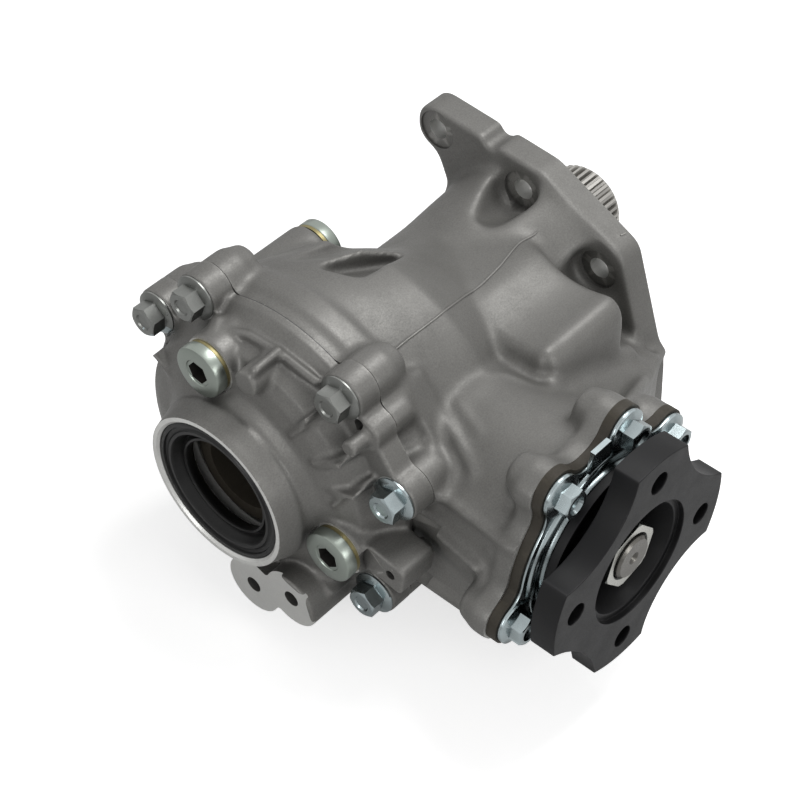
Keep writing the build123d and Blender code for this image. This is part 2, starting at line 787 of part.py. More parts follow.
def make_side_cover():
    """Cast cover with the side bearing seat, the half shaft seal's hub, plug bosses and a bracket boss."""
    seal_shoulder_x = hub_rim_x + side_seal_inset + side_seal_depth + 1.5
    seat_lip_x = cover_joint_x - chamber_depth + cup_lead
    dome = turned(
        x_plane(0),
        (side_seal_r - seal_land, seal_shoulder_x + 4),
        (side_seal_r + press_gap, seal_shoulder_x),
        (side_seal_r + press_gap, hub_rim_x + 1.2),
        (side_seal_r + 1.2, hub_rim_x),
        (hub_rim_r - 0.8, hub_rim_x),
        (hub_rim_r, hub_rim_x + 0.8),
        (hub_rim_r + 2.2, hub_rim_x + 8),
        (hub_rim_r + 4.5, hub_rim_x + 15),
        (hub_rim_r + 9, hub_rim_x + 19),
        (hub_rim_r + 19, hub_rim_x + 22),
        (hub_rim_r + 26, hub_rim_x + 25.5),
        (cover_ring_r, cover_seat_x),
        (cover_rim_r, cover_joint_x - 4),
        (cover_rim_r, cover_joint_x),
        (left_cup_r + cup_wall, cover_joint_x),
        (left_cup_r + cup_wall, seat_lip_x),
        (left_cup_r, seat_lip_x),
        (left_cup_r, left_cup_end - shim),
        (side_seal_r - seal_land, left_cup_end - shim),
    )
    with BuildPart() as side_cover:
        add(dome)
        add(lobed_plate(cover_seat_x, cover_plate))
        with BuildSketch(x_plane(plug_seat_x)):
            with Locations(*plug_centres):
                Circle(plug_boss_r)
        extrude(amount=cover_joint_x - cover_plate - plug_seat_x)
        with BuildSketch(x_plane(bracket_face_x)):
            with Locations(*bracket_holes):
                Circle(bracket_boss_r)
            with BuildLine():
                Line(*bracket_holes)
            offset(amount=bracket_waist_r)
        extrude(amount=cover_joint_x - bracket_face_x - 4)
        with BuildSketch(x_plane(lug_face_x)):
            with Locations(Location((lug_centre[0] + lug_offset, lug_centre[1]), lug_turn)):
                RectangleRounded(*lug_sides, lug_corner_r)
        extrude(amount=lug_depth)
        with BuildSketch(x_plane(cover_seat_x)):
            for angle in bridge_angles:
                with Locations(polar(bridge_r - bridge_round, angle)):
                    Circle(bridge_round)
            with Locations(polar(cover_ring_r + 3, sum(bridge_angles) / 2)):
                Circle(bridge_round)
            make_hull()
        extrude(amount=cover_plate)
        with BuildSketch(x_plane(blank_boss_x)):
            with Locations(blank_boss_centre):
                Circle(blank_boss_r)
        extrude(amount=cover_seat_x + 2 - blank_boss_x)
        with BuildSketch(x_plane(cover_rib_x)):
            for angle in cover_rib_angles:
                with Locations(Location(polar(sum(cover_rib_r) / 2, angle), angle)):
                    Rectangle(cover_rib_r[1] - cover_rib_r[0], cover_rib_sheet)
        extrude(amount=cover_seat_x + 2 - cover_rib_x)
        add(cover_cavity(), mode=Mode.SUBTRACT)
        with BuildSketch(x_plane(plug_seat_x)):
            with Locations(*plug_centres):
                Circle(plug_thread_r)
        extrude(amount=cover_joint_x - cover_plate - plug_seat_x, mode=Mode.SUBTRACT)
        with BuildSketch(x_plane(plug_seat_x)):
            with Locations(*plug_centres):
                Circle(plug_head_r + spotface_gap)
        extrude(amount=-plug_head - washer_sheet, mode=Mode.SUBTRACT)
        with BuildSketch(x_plane(bracket_face_x)):
            with Locations(*bracket_holes):
                Circle(m10_core_r)
        extrude(amount=bracket_thread, mode=Mode.SUBTRACT)
        with BuildSketch(x_plane(lug_face_x)):
            with Locations(lug_centre):
                Circle(lug_core_r)
        extrude(amount=lug_thread, mode=Mode.SUBTRACT)
        add(cover_bolt_holes(cover_seat_x, cover_plate, m10_clear_r), mode=Mode.SUBTRACT)
        add(
            cover_bolt_holes(cover_seat_x, plug_seat_x - cover_seat_x, m10_flange_r + spotface_gap / 2),
            mode=Mode.SUBTRACT,
        )
        add(dowel_holes(), mode=Mode.SUBTRACT)
    return side_cover.part


# Main housing

def drum_and_neck():
    """Drum, dome and neck; the dome leans towards the pinion, whose head it covers."""
    stations = (
        (drum_end_x, 0.0, 0.0, drum_r),
        (drum_end_x + 2, 0.0, 0.0, drum_r - 2.5),
        (drum_end_x + 15, -2.0, 0.0, drum_r - 3.0),
        (pinion_x + 12, -8.0, 0.0, drum_r - 7.0),
        (neck_start_x - 6, -13.0, 3.0, neck_r + 5.0),
        (neck_start_x + 14, 0.0, 0.0, neck_r),
    )
    flare_start = (flange_front_x - 10, neck_r)
    flare_middle = (flange_front_x - 3, neck_r + 1.8)
    flare_end = (flange_front_x, neck_r + 5)
    joint_x = cover_joint_x + sealant_gap
    with BuildPart() as body:
        with BuildSketch(x_plane(joint_x)):
            Circle(cover_rim_r)
        extrude(amount=10)
        with BuildSketch(x_plane(joint_x + 9)):
            Circle(drum_r)
        extrude(amount=drum_end_x - joint_x - 9)
        for near, far in zip(stations[:-1], stations[1:]):
            for x, y, z, radius in (near, far):
                with BuildSketch(x_plane(x)):
                    with Locations((y, z)):
                        Circle(radius)
            loft()
        with BuildSketch(Plane.XZ):
            with BuildLine():
                Line((neck_start_x, 0), (neck_start_x, neck_r))
                Line((neck_start_x, neck_r), flare_start)
                ThreePointArc(flare_start, flare_middle, flare_end)
                Line(flare_end, (flange_front_x, 0))
                Line((flange_front_x, 0), (neck_start_x, 0))
            make_face()
        revolve(axis=Axis.X)
    return body.part


def chamber():
    """Everything inside the housing: gear chamber, bearing seat, neck and seal bores."""
    return turned(
        x_plane(0),
        (0, cover_joint_x - 1),
        (chamber_r, cover_joint_x - 1),
        (chamber_r, drum_end_x + 13),
        (right_cup_r + 8, right_bearing_x - 18),
        (right_cup_r, right_bearing_x - 6),
        (right_cup_r, right_cup_end),
        (right_cup_r - cup_shoulder, right_cup_end),
        (right_cup_r - cup_shoulder, right_cup_end + 5),
        (neck_bore_r, right_cup_end + 8),
        (neck_bore_r, flange_front_x - 10),
        (shaft_seal_r, shaft_seal_x - shaft_seal_depth - 8),
        (shaft_seal_r, spigot_length + 1),
        (0, spigot_length + 1),
    )


def make_main_housing():
    """Cast housing: gear drum, neck, gearbox flange, pinion tube and the webs between them."""
    with BuildPart() as body:
        add(drum_and_neck())
        add(lobed_plate(cover_joint_x + sealant_gap, housing_plate - sealant_gap))
        for angle in cover_bolt_angles:
            with BuildSketch(x_plane(cover_joint_x + housing_plate - 2)):
                with Locations(Location(polar(cover_bolt_r - boss_reach / 2, angle), angle)):
                    SlotCenterToCenter(boss_reach, 2 * cover_lobe_r)
            extrude(amount=cover_boss_length - housing_plate + 2, taper=boss_taper)
        with BuildSketch(x_plane(flange_front_x)):
            with BuildLine():
                Polyline(*flange_outline, close=True)
            make_face()
            offset(amount=-flange_corner_r, mode=Mode.REPLACE)
            offset(amount=2 * flange_corner_r, mode=Mode.REPLACE)
            offset(amount=-flange_corner_r, mode=Mode.REPLACE)
            with Locations(flange_notch_centre):
                Rectangle(*flange_notch, mode=Mode.SUBTRACT)
        extrude(amount=flange_plate)
        with BuildSketch(x_plane(0)):
            Circle(spigot_r)
        extrude(amount=spigot_length)
        add(turned(
            y_ring_base(0),
            (0, 20),
            (pinion_tube_r, 20),
            (pinion_tube_r, -pinion_tube_flare_y),
            (pinion_tube_end_r, -output_face_y),
            (0, -output_face_y),
        ))
        add(output_lobes(output_face_y + output_plate, output_plate, 0, 0))
        for angle in output_bolt_angles:
            with BuildSketch(y_plane(output_face_y + output_plate - 1)):
                with Locations(Location(polar(output_bolt_r - boss_reach / 2, angle), angle)):
                    SlotCenterToCenter(boss_reach, 2 * output_lobe_r)
            extrude(amount=output_plate - 1 - output_boss_length, taper=boss_taper)
        add(web_body())
        add(neck_bulge())
        add(tube_webs())
        add(joint_shoulder())
        add(flange_collar())
        with BuildSketch(x_plane(rear_plug_seat_x)):
            with Locations(rear_plug_centre):
                Circle(plug_boss_r)
        extrude(amount=-rear_boss_length)
    with BuildPart() as main_housing:
        add(body.part)
        add(chamber(), mode=Mode.SUBTRACT)
        with BuildSketch(y_plane(cage_bore_y)):
            Circle(cage_r + press_gap)
        extrude(amount=cage_bore_y - output_face_y, mode=Mode.SUBTRACT)
        add(cover_bolt_holes(cover_joint_x, cover_bolt_reach + hole_runout, m10_core_r), mode=Mode.SUBTRACT)
        add(dowel_holes(), mode=Mode.SUBTRACT)
        with BuildSketch(y_plane(output_face_y)):
            for angle in output_bolt_angles:
                with Locations(polar(output_bolt_r, angle)):
                    Circle(m10_core_r)
        extrude(amount=-output_bolt_reach - hole_runout, mode=Mode.SUBTRACT)
        with BuildSketch(x_plane(flange_front_x - 1)):
            with Locations(*flange_holes):
                Circle(m10_clear_r)
        extrude(amount=flange_plate + 1, mode=Mode.SUBTRACT)
        with BuildSketch(x_plane(flange_front_x + flange_spotface)):
            with Locations(*flange_holes):
                Circle(flange_spotface_r)
        extrude(amount=-flange_spotface - 14, mode=Mode.SUBTRACT)
        for hole in flange_holes:
            with BuildSketch(x_plane(flange_front_x)):
                with Locations(hole):
                    Circle(collar_seat_r)
            extrude(amount=-collar_seat_depth, taper=collar_seat_taper, mode=Mode.SUBTRACT)
        with BuildSketch(x_plane(rear_plug_seat_x)):
            with Locations(rear_plug_centre):
                Circle(plug_thread_r)
        extrude(amount=6 - rear_boss_length, mode=Mode.SUBTRACT)
        with BuildSketch(x_plane(rear_plug_seat_x)):
            with Locations(rear_plug_centre):
                Circle(plug_head_r + spotface_gap)
        extrude(amount=20, mode=Mode.SUBTRACT)
        groove = spigot_ring + 2 * ring_squeeze
        add(ring(x_plane(spigot_groove_x), spigot_r + 1, spigot_r - groove_depth, groove), mode=Mode.SUBTRACT)
    return main_housing.part


def web_body():
    """Teardrop section around the pinion tube, reaching over to the gearbox flange."""
    with BuildPart() as web:
        with BuildSketch(y_plane(web_start_y)):
            Circle(web_tube_r)
            with Locations(*web_corners):
                Circle(web_corner_r)
            make_hull()
        extrude(amount=web_start_y - web_end_y)
        with BuildSketch(Plane.XY):
            with BuildLine():
                Polyline(*[(pinion_x + x, y) for x, y in web_edge], close=True)
            make_face()
        extrude(amount=2 * web_tube_r, both=True, mode=Mode.INTERSECT)
    return web.part


def neck_bulge():
    """Rounded block on the neck beside the pinion tube, its top running level with the neck."""
    with BuildPart() as bulge:
        with BuildSketch(x_plane(bulge_start_x)):
            Circle(neck_r)
            with Locations(*bulge_corners):
                Circle(bulge_corner_r)
            make_hull()
            with Locations(saddle_centre):
                Circle(saddle_r, mode=Mode.SUBTRACT)
        extrude(amount=bulge_length)
        fillet(bulge.faces().sort_by(Axis.X)[0].edges(), bulge_round)
    return bulge.part


def tube_webs():
    """Flat wall on the cover's side of the pinion tube, and the two thin ridges that run along it."""
    length = web_wall_y[0] - web_wall_y[1]
    with BuildPart() as webs:
        with BuildSketch(y_plane(web_wall_y[0])):
            Circle(pinion_tube_r - 2)
            with Locations(web_wall_corner):
                Circle(web_wall_r)
            make_hull()
        extrude(amount=length)
        for angle, start_y, end_y in tube_ridges:
            outward = Vector(cos(radians(angle)), 0, sin(radians(angle)))
            side = Plane(origin=(pinion_x, 0, 0), x_dir=outward, z_dir=outward.cross(Vector(0, 1, 0)))
            with BuildSketch(side):
                with BuildLine():
                    Polyline(
                        (pinion_tube_r - 4, start_y),
                        (web_tube_r + ridge_height, start_y),
                        (pinion_tube_end_r + ridge_height, end_y),
                        (pinion_tube_r - 4, end_y),
                        close=True,
                    )
                make_face()
            extrude(amount=ridge_sheet / 2, both=True)
    return webs.part


def flange_collar():
    """Thick root of the neck at the gearbox flange, into which the bolt seats are sunk."""
    stations = (
        (flange_front_x - 53, 0.0, 0.0, neck_r - 2),
        (flange_front_x - 25, -5.0, 4.0, neck_r + 3),
        (flange_front_x - 1, -12.0, 6.0, neck_r + 9),
    )
    with BuildPart() as collar:
        for x, y, z, radius in stations:
            with BuildSketch(x_plane(x)):
                with Locations((y, z)):
                    Circle(radius)
        loft()
    return collar.part


def joint_shoulder():
    """Raised shoulder of the drum beside the joint, a slot's width behind the bridge of the cover."""
    with BuildPart() as shoulder:
        with BuildSketch(x_plane(cover_joint_x + shoulder_gap)):
            for angle in bridge_angles:
                with Locations(polar(bridge_r - shoulder_round, angle)):
                    Circle(shoulder_round)
            with Locations(polar(cover_ring_r - shoulder_round, sum(bridge_angles) / 2)):
                Circle(shoulder_round)
            make_hull()
        extrude(amount=shoulder_length, taper=boss_taper)
    return shoulder.part


# Output side

def y_ring_base(y):
    return Plane(origin=(pinion_x, y, 0), x_dir=(0, 0, 1), z_dir=(0, -1, 0))


def output_lobes(y, thickness, bore_r, hole_r, shrink=0.0):
    """Lobed outline shared by the housing, the bearing cage and the dust shield."""
    with BuildPart() as plate:
        with BuildSketch(y_plane(y)):
            Circle(output_ring_r - shrink)
            for angle in output_bolt_angles:
                with Locations(polar(output_bolt_r, angle)):
                    Circle(output_lobe_r - shrink)
            offset(amount=output_blend_r, mode=Mode.REPLACE)
            offset(amount=-output_blend_r, mode=Mode.REPLACE)
            if bore_r > 0:
                Circle(bore_r, mode=Mode.SUBTRACT)
            if hole_r > 0:
                for angle in output_bolt_angles:
                    with Locations(polar(output_bolt_r, angle)):
                        Circle(hole_r, mode=Mode.SUBTRACT)
        extrude(amount=thickness)
    return plate.part


def make_pinion_bearing_cage():
    """Lobed plate with a sleeve that holds both pinion bearings and the pinion seal."""
    sleeve = turned(
        y_ring_base(0),
        (head_cup_r, -cage_inner_y),
        (cage_r - 1, -cage_inner_y),
        (cage_r, -cage_inner_y + 1),
        (cage_r, -output_face_y),
        (cage_r + 2, -output_face_y),
        (cage_r + 2, -cage_face_y),
        (pinion_seal_r + 1.5, -cage_face_y),
        (pinion_seal_r + press_gap, -cage_face_y - 1.5),
        (pinion_seal_r + press_gap, -tail_bearing_y + 3.5),
        (tail_cup_r, -tail_bearing_y + 3.5),
        (tail_cup_r, -tail_cup_end),
        (tail_cup_r - cup_shoulder, -tail_cup_end),
        (tail_cup_r - cup_shoulder, -head_cup_end),
        (head_cup_r, -head_cup_end),
    )
    with BuildPart() as cage:
        add(sleeve)
        add(output_lobes(output_face_y, cage_plate, cage_r, m10_clear_r))
        groove = cage_ring + 2 * ring_squeeze
        add(ring(y_plane(cage_groove_y), cage_r + 1, cage_r - groove_depth, groove), mode=Mode.SUBTRACT)
    return cage.part


def make_dust_shield():
    """Zinc plated sheet clamped under the output bolts, with a turned-out rim round the seal."""
    rim = turned(
        y_ring_base(0),
        (shield_bore_r, -cage_face_y),
        (shield_bore_r + 6, -cage_face_y),
        (shield_bore_r + 6, -cage_face_y + shield_sheet),
        (shield_bore_r + shield_sheet, -cage_face_y + shield_sheet),
        (shield_bore_r + shield_sheet, -cage_face_y + shield_rim),
        (shield_bore_r, -cage_face_y + shield_rim),
    )
    with BuildPart() as shield:
        add(output_lobes(cage_face_y, shield_sheet, shield_bore_r, m10_clear_r, shrink=shield_inset))
        add(rim)
    return shield.part


def make_output_bolts():
    pieces = []
    for angle in output_bolt_angles:
        base = y_plane(cage_face_y - shield_sheet)
        inward = Plane(origin=base.origin, x_dir=base.x_dir, z_dir=-base.z_dir)
        x, z = polar(output_bolt_r, angle)
        pieces.append(flanged_bolt(
            inward, (x, -z), m10_core_r - press_gap, cage_plate + shield_sheet + output_bolt_reach,
            *output_bolt_head,
        ))
    return Compound(children=pieces)


def make_companion_flange():
    """Four-lobed flange on the pinion splines, with a pilot recess and a bowl for the nut."""
    hub = turned(
        y_ring_base(0),
        (pinion_spline_r + press_gap, -tail_bearing_y),
        (companion_hub_r - 4, -tail_bearing_y),
        (companion_hub_r, -tail_bearing_y + 4),
        (companion_hub_r, -companion_face_y - companion_plate - 5.4),
        (companion_hub_r + 6, -companion_face_y - companion_plate - 2.5),
        (companion_hub_r + 8, -companion_face_y - companion_plate),
        (companion_scallops[0] - 1, -companion_face_y - companion_plate),
        (companion_scallops[0] - 1, -companion_face_y),
        (companion_recess_r, -companion_face_y),
        (companion_recess_r, -companion_face_y - companion_recess),
        (companion_recess_r - companion_step, -companion_face_y - companion_recess),
        (companion_recess_r - companion_step - 5, -nut_seat_y),
        (pinion_spline_r + press_gap, -nut_seat_y),
    )
    with BuildPart() as companion_flange:
        add(hub)
        with BuildSketch(y_plane(companion_face_y + companion_plate)):
            with BuildLine():
                for index in range(4):
                    angle = companion_turn + 90 * index
                    start = polar(companion_lobe_r, angle - companion_lobe_half)
                    end = polar(companion_lobe_r, angle + companion_lobe_half)
                    following = polar(companion_lobe_r, angle + 90 - companion_lobe_half)
                    waist = companion_scallops[index % 2]
                    ThreePointArc(start, polar(companion_lobe_r, angle), end)
                    ThreePointArc(end, polar(waist, angle + 45), following)
            make_face()
            Circle(companion_recess_r, mode=Mode.SUBTRACT)
            for index in range(4):
                with Locations(polar(companion_pcd / 2, companion_turn + 90 * index)):
                    Circle(companion_hole_r, mode=Mode.SUBTRACT)
        extrude(amount=companion_plate)
    return companion_flange.part


def make_pinion_nut():
    """Nut on the pinion's end, standing on its own collar."""
    outward = y_plane(nut_seat_y)
    with BuildPart() as nut:
        with BuildSketch(outward):
            Circle(nut_collar_r)
        extrude(amount=nut_collar)
        with BuildSketch(outward.offset(nut_collar)):
            RegularPolygon(nut_hex / 2, 6, major_radius=False)
        extrude(amount=nut_height - nut_collar)
        with BuildSketch(outward):
            Circle(pinion_thread_r + press_gap)
        extrude(amount=nut_height, mode=Mode.SUBTRACT)
    return nut.part


def make_dust_deflector():
    """Pressed ring behind the companion flange that keeps dirt off the seal."""
    face = -companion_face_y - companion_plate
    return turned(
        y_ring_base(0),
        (companion_hub_r + press_gap, face - deflector_depth),
        (companion_hub_r + 1.5, face - deflector_depth),
        (companion_hub_r + 1.5, face - 9),
        (deflector_r - deflector_sheet, face - 5),
        (deflector_r - deflector_sheet, face - 8),
        (deflector_r, face - 8),
        (deflector_r, face - 3.6),
        (companion_hub_r + 7, face - 3.6 - 3.0),
        (companion_hub_r + press_gap, face - 7.0),
    )


def make_plug(base, centre):
    """Screw plug with a hexagon socket; the base plane is the washer's outer face, pointing in."""
    outward = Plane(origin=base.origin, x_dir=base.x_dir, z_dir=-base.z_dir)
    mirrored = (centre[0], -centre[1])
    with BuildPart() as plug:
        with BuildSketch(base):
            with Locations(centre):
                Circle(plug_thread_r - press_gap)
        extrude(amount=plug_shank)
        with BuildSketch(outward):
            with Locations(mirrored):
                Circle(plug_head_r)
        extrude(amount=plug_head)
        with BuildSketch(outward.offset(plug_head)):
            with Locations(mirrored):
                RegularPolygon(plug_hex / 2, 6, major_radius=False)
        extrude(amount=-plug_head - 2, mode=Mode.SUBTRACT)
        chamfer(plug.faces().sort_by(Axis(base.origin, -base.z_dir))[-1].outer_wire().edges(), plug_edge)
    return plug.part


def make_washer(base, centre):
    with BuildPart() as washer:
        with BuildSketch(base):
            with Locations(centre):
                Circle(plug_head_r - 0.3)
                Circle(plug_thread_r + 0.1, mode=Mode.SUBTRACT)
        extrude(amount=-washer_sheet)
    return washer.part


def make_lip_seal(base, outer_r, lip_r, depth):
    """Radial shaft seal: rubber covered case, dust lip at the front and sprung main lip behind."""
    disc_front = 1.6
    disc_back = 3.4
    lip = depth * 0.62
    room = outer_r - lip_r
    return turned(
        base,
        (outer_r, 0.6),
        (outer_r - 0.6, 0),
        (outer_r - room * 0.22, 0),
        (outer_r - room * 0.27, disc_front),
        (lip_r + room * 0.25, disc_front),
        (lip_r + 0.3, 0.4),
        (lip_r, 1.2),
        (lip_r + room * 0.18, disc_back),
        (lip_r, lip),
        (lip_r + room * 0.08, lip + 1.2),
        (lip_r + room * 0.28, lip + 1.0),
        (lip_r + room * 0.32, disc_back),
        (outer_r - room * 0.19, disc_back),
        (outer_r - room * 0.17, depth),
        (outer_r, depth),
    )


def make_cover_bolts():
    pieces = []
    for angle in cover_bolt_angles:
        pieces.append(flanged_bolt(
            x_plane(cover_seat_x), polar(cover_bolt_r, angle), m10_core_r - press_gap,
            cover_plate + cover_bolt_reach, m10_flange_r, m10_hex, cover_bolt_head,
        ))
    return Compound(children=pieces)


def make_dowels():
    pieces = []
    for angle in dowel_angles:
        start = cover_joint_x - dowel_length / 2
        pieces.append(rod(x_plane(start), polar(dowel_circle_r, angle), dowel_r, dowel_length))
    return Compound(children=pieces)


def make_sealant():
    with BuildPart() as bead:
        with BuildSketch(x_plane(cover_joint_x)):
            Circle(cover_rim_r)
            Circle(chamber_r, mode=Mode.SUBTRACT)
        extrude(amount=sealant_gap)
    return bead.part


def o_ring(base, inner_r, outer_r, width):
    """Sealing ring squeezed into its groove, with rounded edges."""
    bevel = (outer_r - inner_r) / 4
    return turned(
        base,
        (inner_r, bevel),
        (inner_r + bevel, 0),
        (outer_r - bevel, 0),
        (outer_r, bevel),
        (outer_r, width - bevel),
        (outer_r - bevel, width),
        (inner_r + bevel, width),
        (inner_r, width - bevel),
    )


side_seal_base = Plane(origin=(hub_rim_x + side_seal_inset, 0, 0), x_dir=(0, 0, 1), z_dir=(1, 0, 0))
shaft_seal_base = Plane(origin=(shaft_seal_x, 0, 0), x_dir=(0, 0, 1), z_dir=(-1, 0, 0))
pinion_seal_base = Plane(
    origin=(pinion_x, cage_face_y + pinion_seal_inset, 0), x_dir=(0, 0, 1), z_dir=(0, 1, 0),
)
plug_base = x_plane(plug_seat_x - washer_sheet)
rear_plug_plane = Plane(origin=(rear_plug_seat_x + washer_sheet, 0, 0), x_dir=(0, 1, 0), z_dir=(-1, 0, 0))
rear_plug_mirrored = (rear_plug_centre[0], -rear_plug_centre[1])


def build_pieces():
    """Every piece by the name of its file."""
    pieces = {
        "main_housing": make_main_housing(),
        "side_cover": make_side_cover(),
        "cover_sealant": make_sealant(),
        "side_cover_bolts": make_cover_bolts(),
        "cover_dowels": make_dowels(),
        "upper_plug": make_plug(plug_base, plug_centres[0]),
        "lower_plug": make_plug(plug_base, plug_centres[1]),
        "rear_plug": make_plug(rear_plug_plane, rear_plug_mirrored),
        "side_oil_seal": make_lip_seal(side_seal_base, side_seal_r, side_seal_lip_r, side_seal_depth),
        "shaft_oil_seal": make_lip_seal(
            shaft_seal_base, shaft_seal_r, shaft_neck_r + running_gap, shaft_seal_depth,
        ),
        "pinion_oil_seal": make_lip_seal(
            pinion_seal_base, pinion_seal_r, companion_hub_r + running_gap, pinion_seal_depth,
        ),
        "ring_gear_case": make_ring_gear_case(),
        "input_shaft": make_input_shaft(),
        "ring_gear": make_ring_gear(),
        "ring_gear_bolts": make_ring_gear_bolts(),
        "drive_pinion": make_drive_pinion(),
        "pinion_bearing_cage": make_pinion_bearing_cage(),
        "dust_shield": make_dust_shield(),
        "output_bolts": make_output_bolts(),
        "companion_flange": make_companion_flange(),
        "pinion_nut": make_pinion_nut(),
        "dust_deflector": make_dust_deflector(),
        "spigot_o_ring": o_ring(
            x_plane(spigot_groove_x + ring_squeeze), spigot_r - groove_depth, spigot_r - ring_squeeze,
            spigot_ring,
        ),
        "cage_o_ring": o_ring(
            y_plane(cage_groove_y - ring_squeeze), cage_r - groove_depth, cage_r, cage_ring,
        ),
        "case_shims": ring(
            x_plane(left_cup_end - shim), left_cup_r - press_gap, left_cup_r - cup_shoulder + 0.5, shim,
        ),
        "pinion_spacer": ring(
            y_plane(head_bearing_y - head_bearing_width), head_journal_r + 3, head_journal_r + 0.1,
            spacer_length,
        ),
    }
    pieces["plug_washers"] = Compound(children=[
        make_washer(x_plane(plug_seat_x), plug_centres[0]),
        make_washer(x_plane(plug_seat_x), plug_centres[1]),
        make_washer(rear_plug_plane.offset(washer_sheet), rear_plug_mirrored),
    ])
    for name, bearing in bearings.items():
        pieces[f"{name}_bearing_cup"] = bearing.cup()
        pieces[f"{name}_bearing_cone"] = bearing.cone()
        pieces[f"{name}_bearing_rollers"] = bearing.roller_set()
        pieces[f"{name}_bearing_retainer"] = bearing.cage()
    return pieces


os.makedirs("parts", exist_ok=True)
for name, piece in build_pieces().items():
    piece.label = name
    export_step(piece, f"parts/{name}.step")
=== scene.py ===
import json
import math

import bmesh
import bpy
import numpy as np
import openvdb as vdb
from mathutils import Matrix, Vector
from mathutils.bvhtree import BVHTree

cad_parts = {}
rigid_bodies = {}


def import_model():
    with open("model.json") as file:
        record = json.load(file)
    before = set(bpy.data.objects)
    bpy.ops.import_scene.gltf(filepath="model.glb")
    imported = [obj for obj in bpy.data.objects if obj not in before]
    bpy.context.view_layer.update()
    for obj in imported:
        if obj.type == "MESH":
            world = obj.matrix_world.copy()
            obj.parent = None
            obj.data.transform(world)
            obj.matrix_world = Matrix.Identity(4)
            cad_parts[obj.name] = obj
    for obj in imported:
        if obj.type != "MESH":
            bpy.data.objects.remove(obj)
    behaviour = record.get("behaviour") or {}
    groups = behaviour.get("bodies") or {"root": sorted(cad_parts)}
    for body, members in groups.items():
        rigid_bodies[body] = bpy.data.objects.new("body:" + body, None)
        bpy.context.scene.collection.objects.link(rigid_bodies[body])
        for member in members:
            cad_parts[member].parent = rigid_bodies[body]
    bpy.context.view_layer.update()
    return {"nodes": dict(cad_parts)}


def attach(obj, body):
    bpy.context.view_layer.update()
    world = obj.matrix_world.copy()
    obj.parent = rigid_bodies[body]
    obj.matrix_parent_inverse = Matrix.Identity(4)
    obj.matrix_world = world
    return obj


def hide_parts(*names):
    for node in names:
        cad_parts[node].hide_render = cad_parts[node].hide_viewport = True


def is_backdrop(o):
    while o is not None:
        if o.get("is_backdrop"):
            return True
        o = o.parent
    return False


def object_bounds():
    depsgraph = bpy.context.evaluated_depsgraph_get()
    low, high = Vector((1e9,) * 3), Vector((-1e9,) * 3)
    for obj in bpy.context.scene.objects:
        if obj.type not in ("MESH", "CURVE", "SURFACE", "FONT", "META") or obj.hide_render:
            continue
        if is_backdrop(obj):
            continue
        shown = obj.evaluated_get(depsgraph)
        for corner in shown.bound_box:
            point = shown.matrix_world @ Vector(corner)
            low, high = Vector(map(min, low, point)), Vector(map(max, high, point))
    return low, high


for item in list(bpy.data.objects):
    bpy.data.objects.remove(item)
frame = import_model()
print("frame loaded:", len(frame["nodes"]), "nodes")

mm = 0.001
scene = bpy.context.scene

# Camera: where the photograph was taken from, with the same field of view
cameraLook = {
    "eye": (-0.6211, -0.4676, 0.6889),
    "right": (0.66583, -0.74611, 0.0),
    "up": (0.53591, 0.47825, 0.69575),
    "lens": 92.02,
    "sensor": 36.0,
}


def makeCamera(look):
    right = Vector(look["right"]).normalized()
    up = Vector(look["up"]).normalized()
    turn = Matrix((right, up, right.cross(up))).transposed().to_4x4()
    data = bpy.data.cameras.new("photoCamera")
    data.lens = look["lens"]
    data.sensor_width = look["sensor"]
    data.clip_end = 20.0
    camera = bpy.data.objects.new("photoCamera", data)
    camera.matrix_world = Matrix.Translation(look["eye"]) @ turn
    scene.collection.objects.link(camera)
    scene.camera = camera


makeCamera(cameraLook)
scene.view_settings.view_transform = "Standard"


# Helpers for node trees
def addNode(tree, kind, inputs=None, **settings):
    node = tree.nodes.new(kind)
    for key, value in settings.items():
        setattr(node, key, value)
    for key, value in (inputs or {}).items():
        if isinstance(value, bpy.types.NodeSocket):
            tree.links.new(value, node.inputs[key])
        else:
            node.inputs[key].default_value = value
    return node


def mathNode(tree, operation, first, second=0.0, third=0.0):
    return addNode(tree, "ShaderNodeMath", {0: first, 1: second, 2: third}, operation=operation).outputs[0]


def newGroup(name, inputs, outputs):
    group = bpy.data.node_groups.new(name, "ShaderNodeTree")
    for label, kind, value in inputs:
        socket = group.interface.new_socket(name=label, in_out="INPUT", socket_type=kind)
        socket.default_value = value
    for label, kind in outputs:
        group.interface.new_socket(name=label, in_out="OUTPUT", socket_type=kind)
    return group, group.nodes.new("NodeGroupInput"), group.nodes.new("NodeGroupOutput")


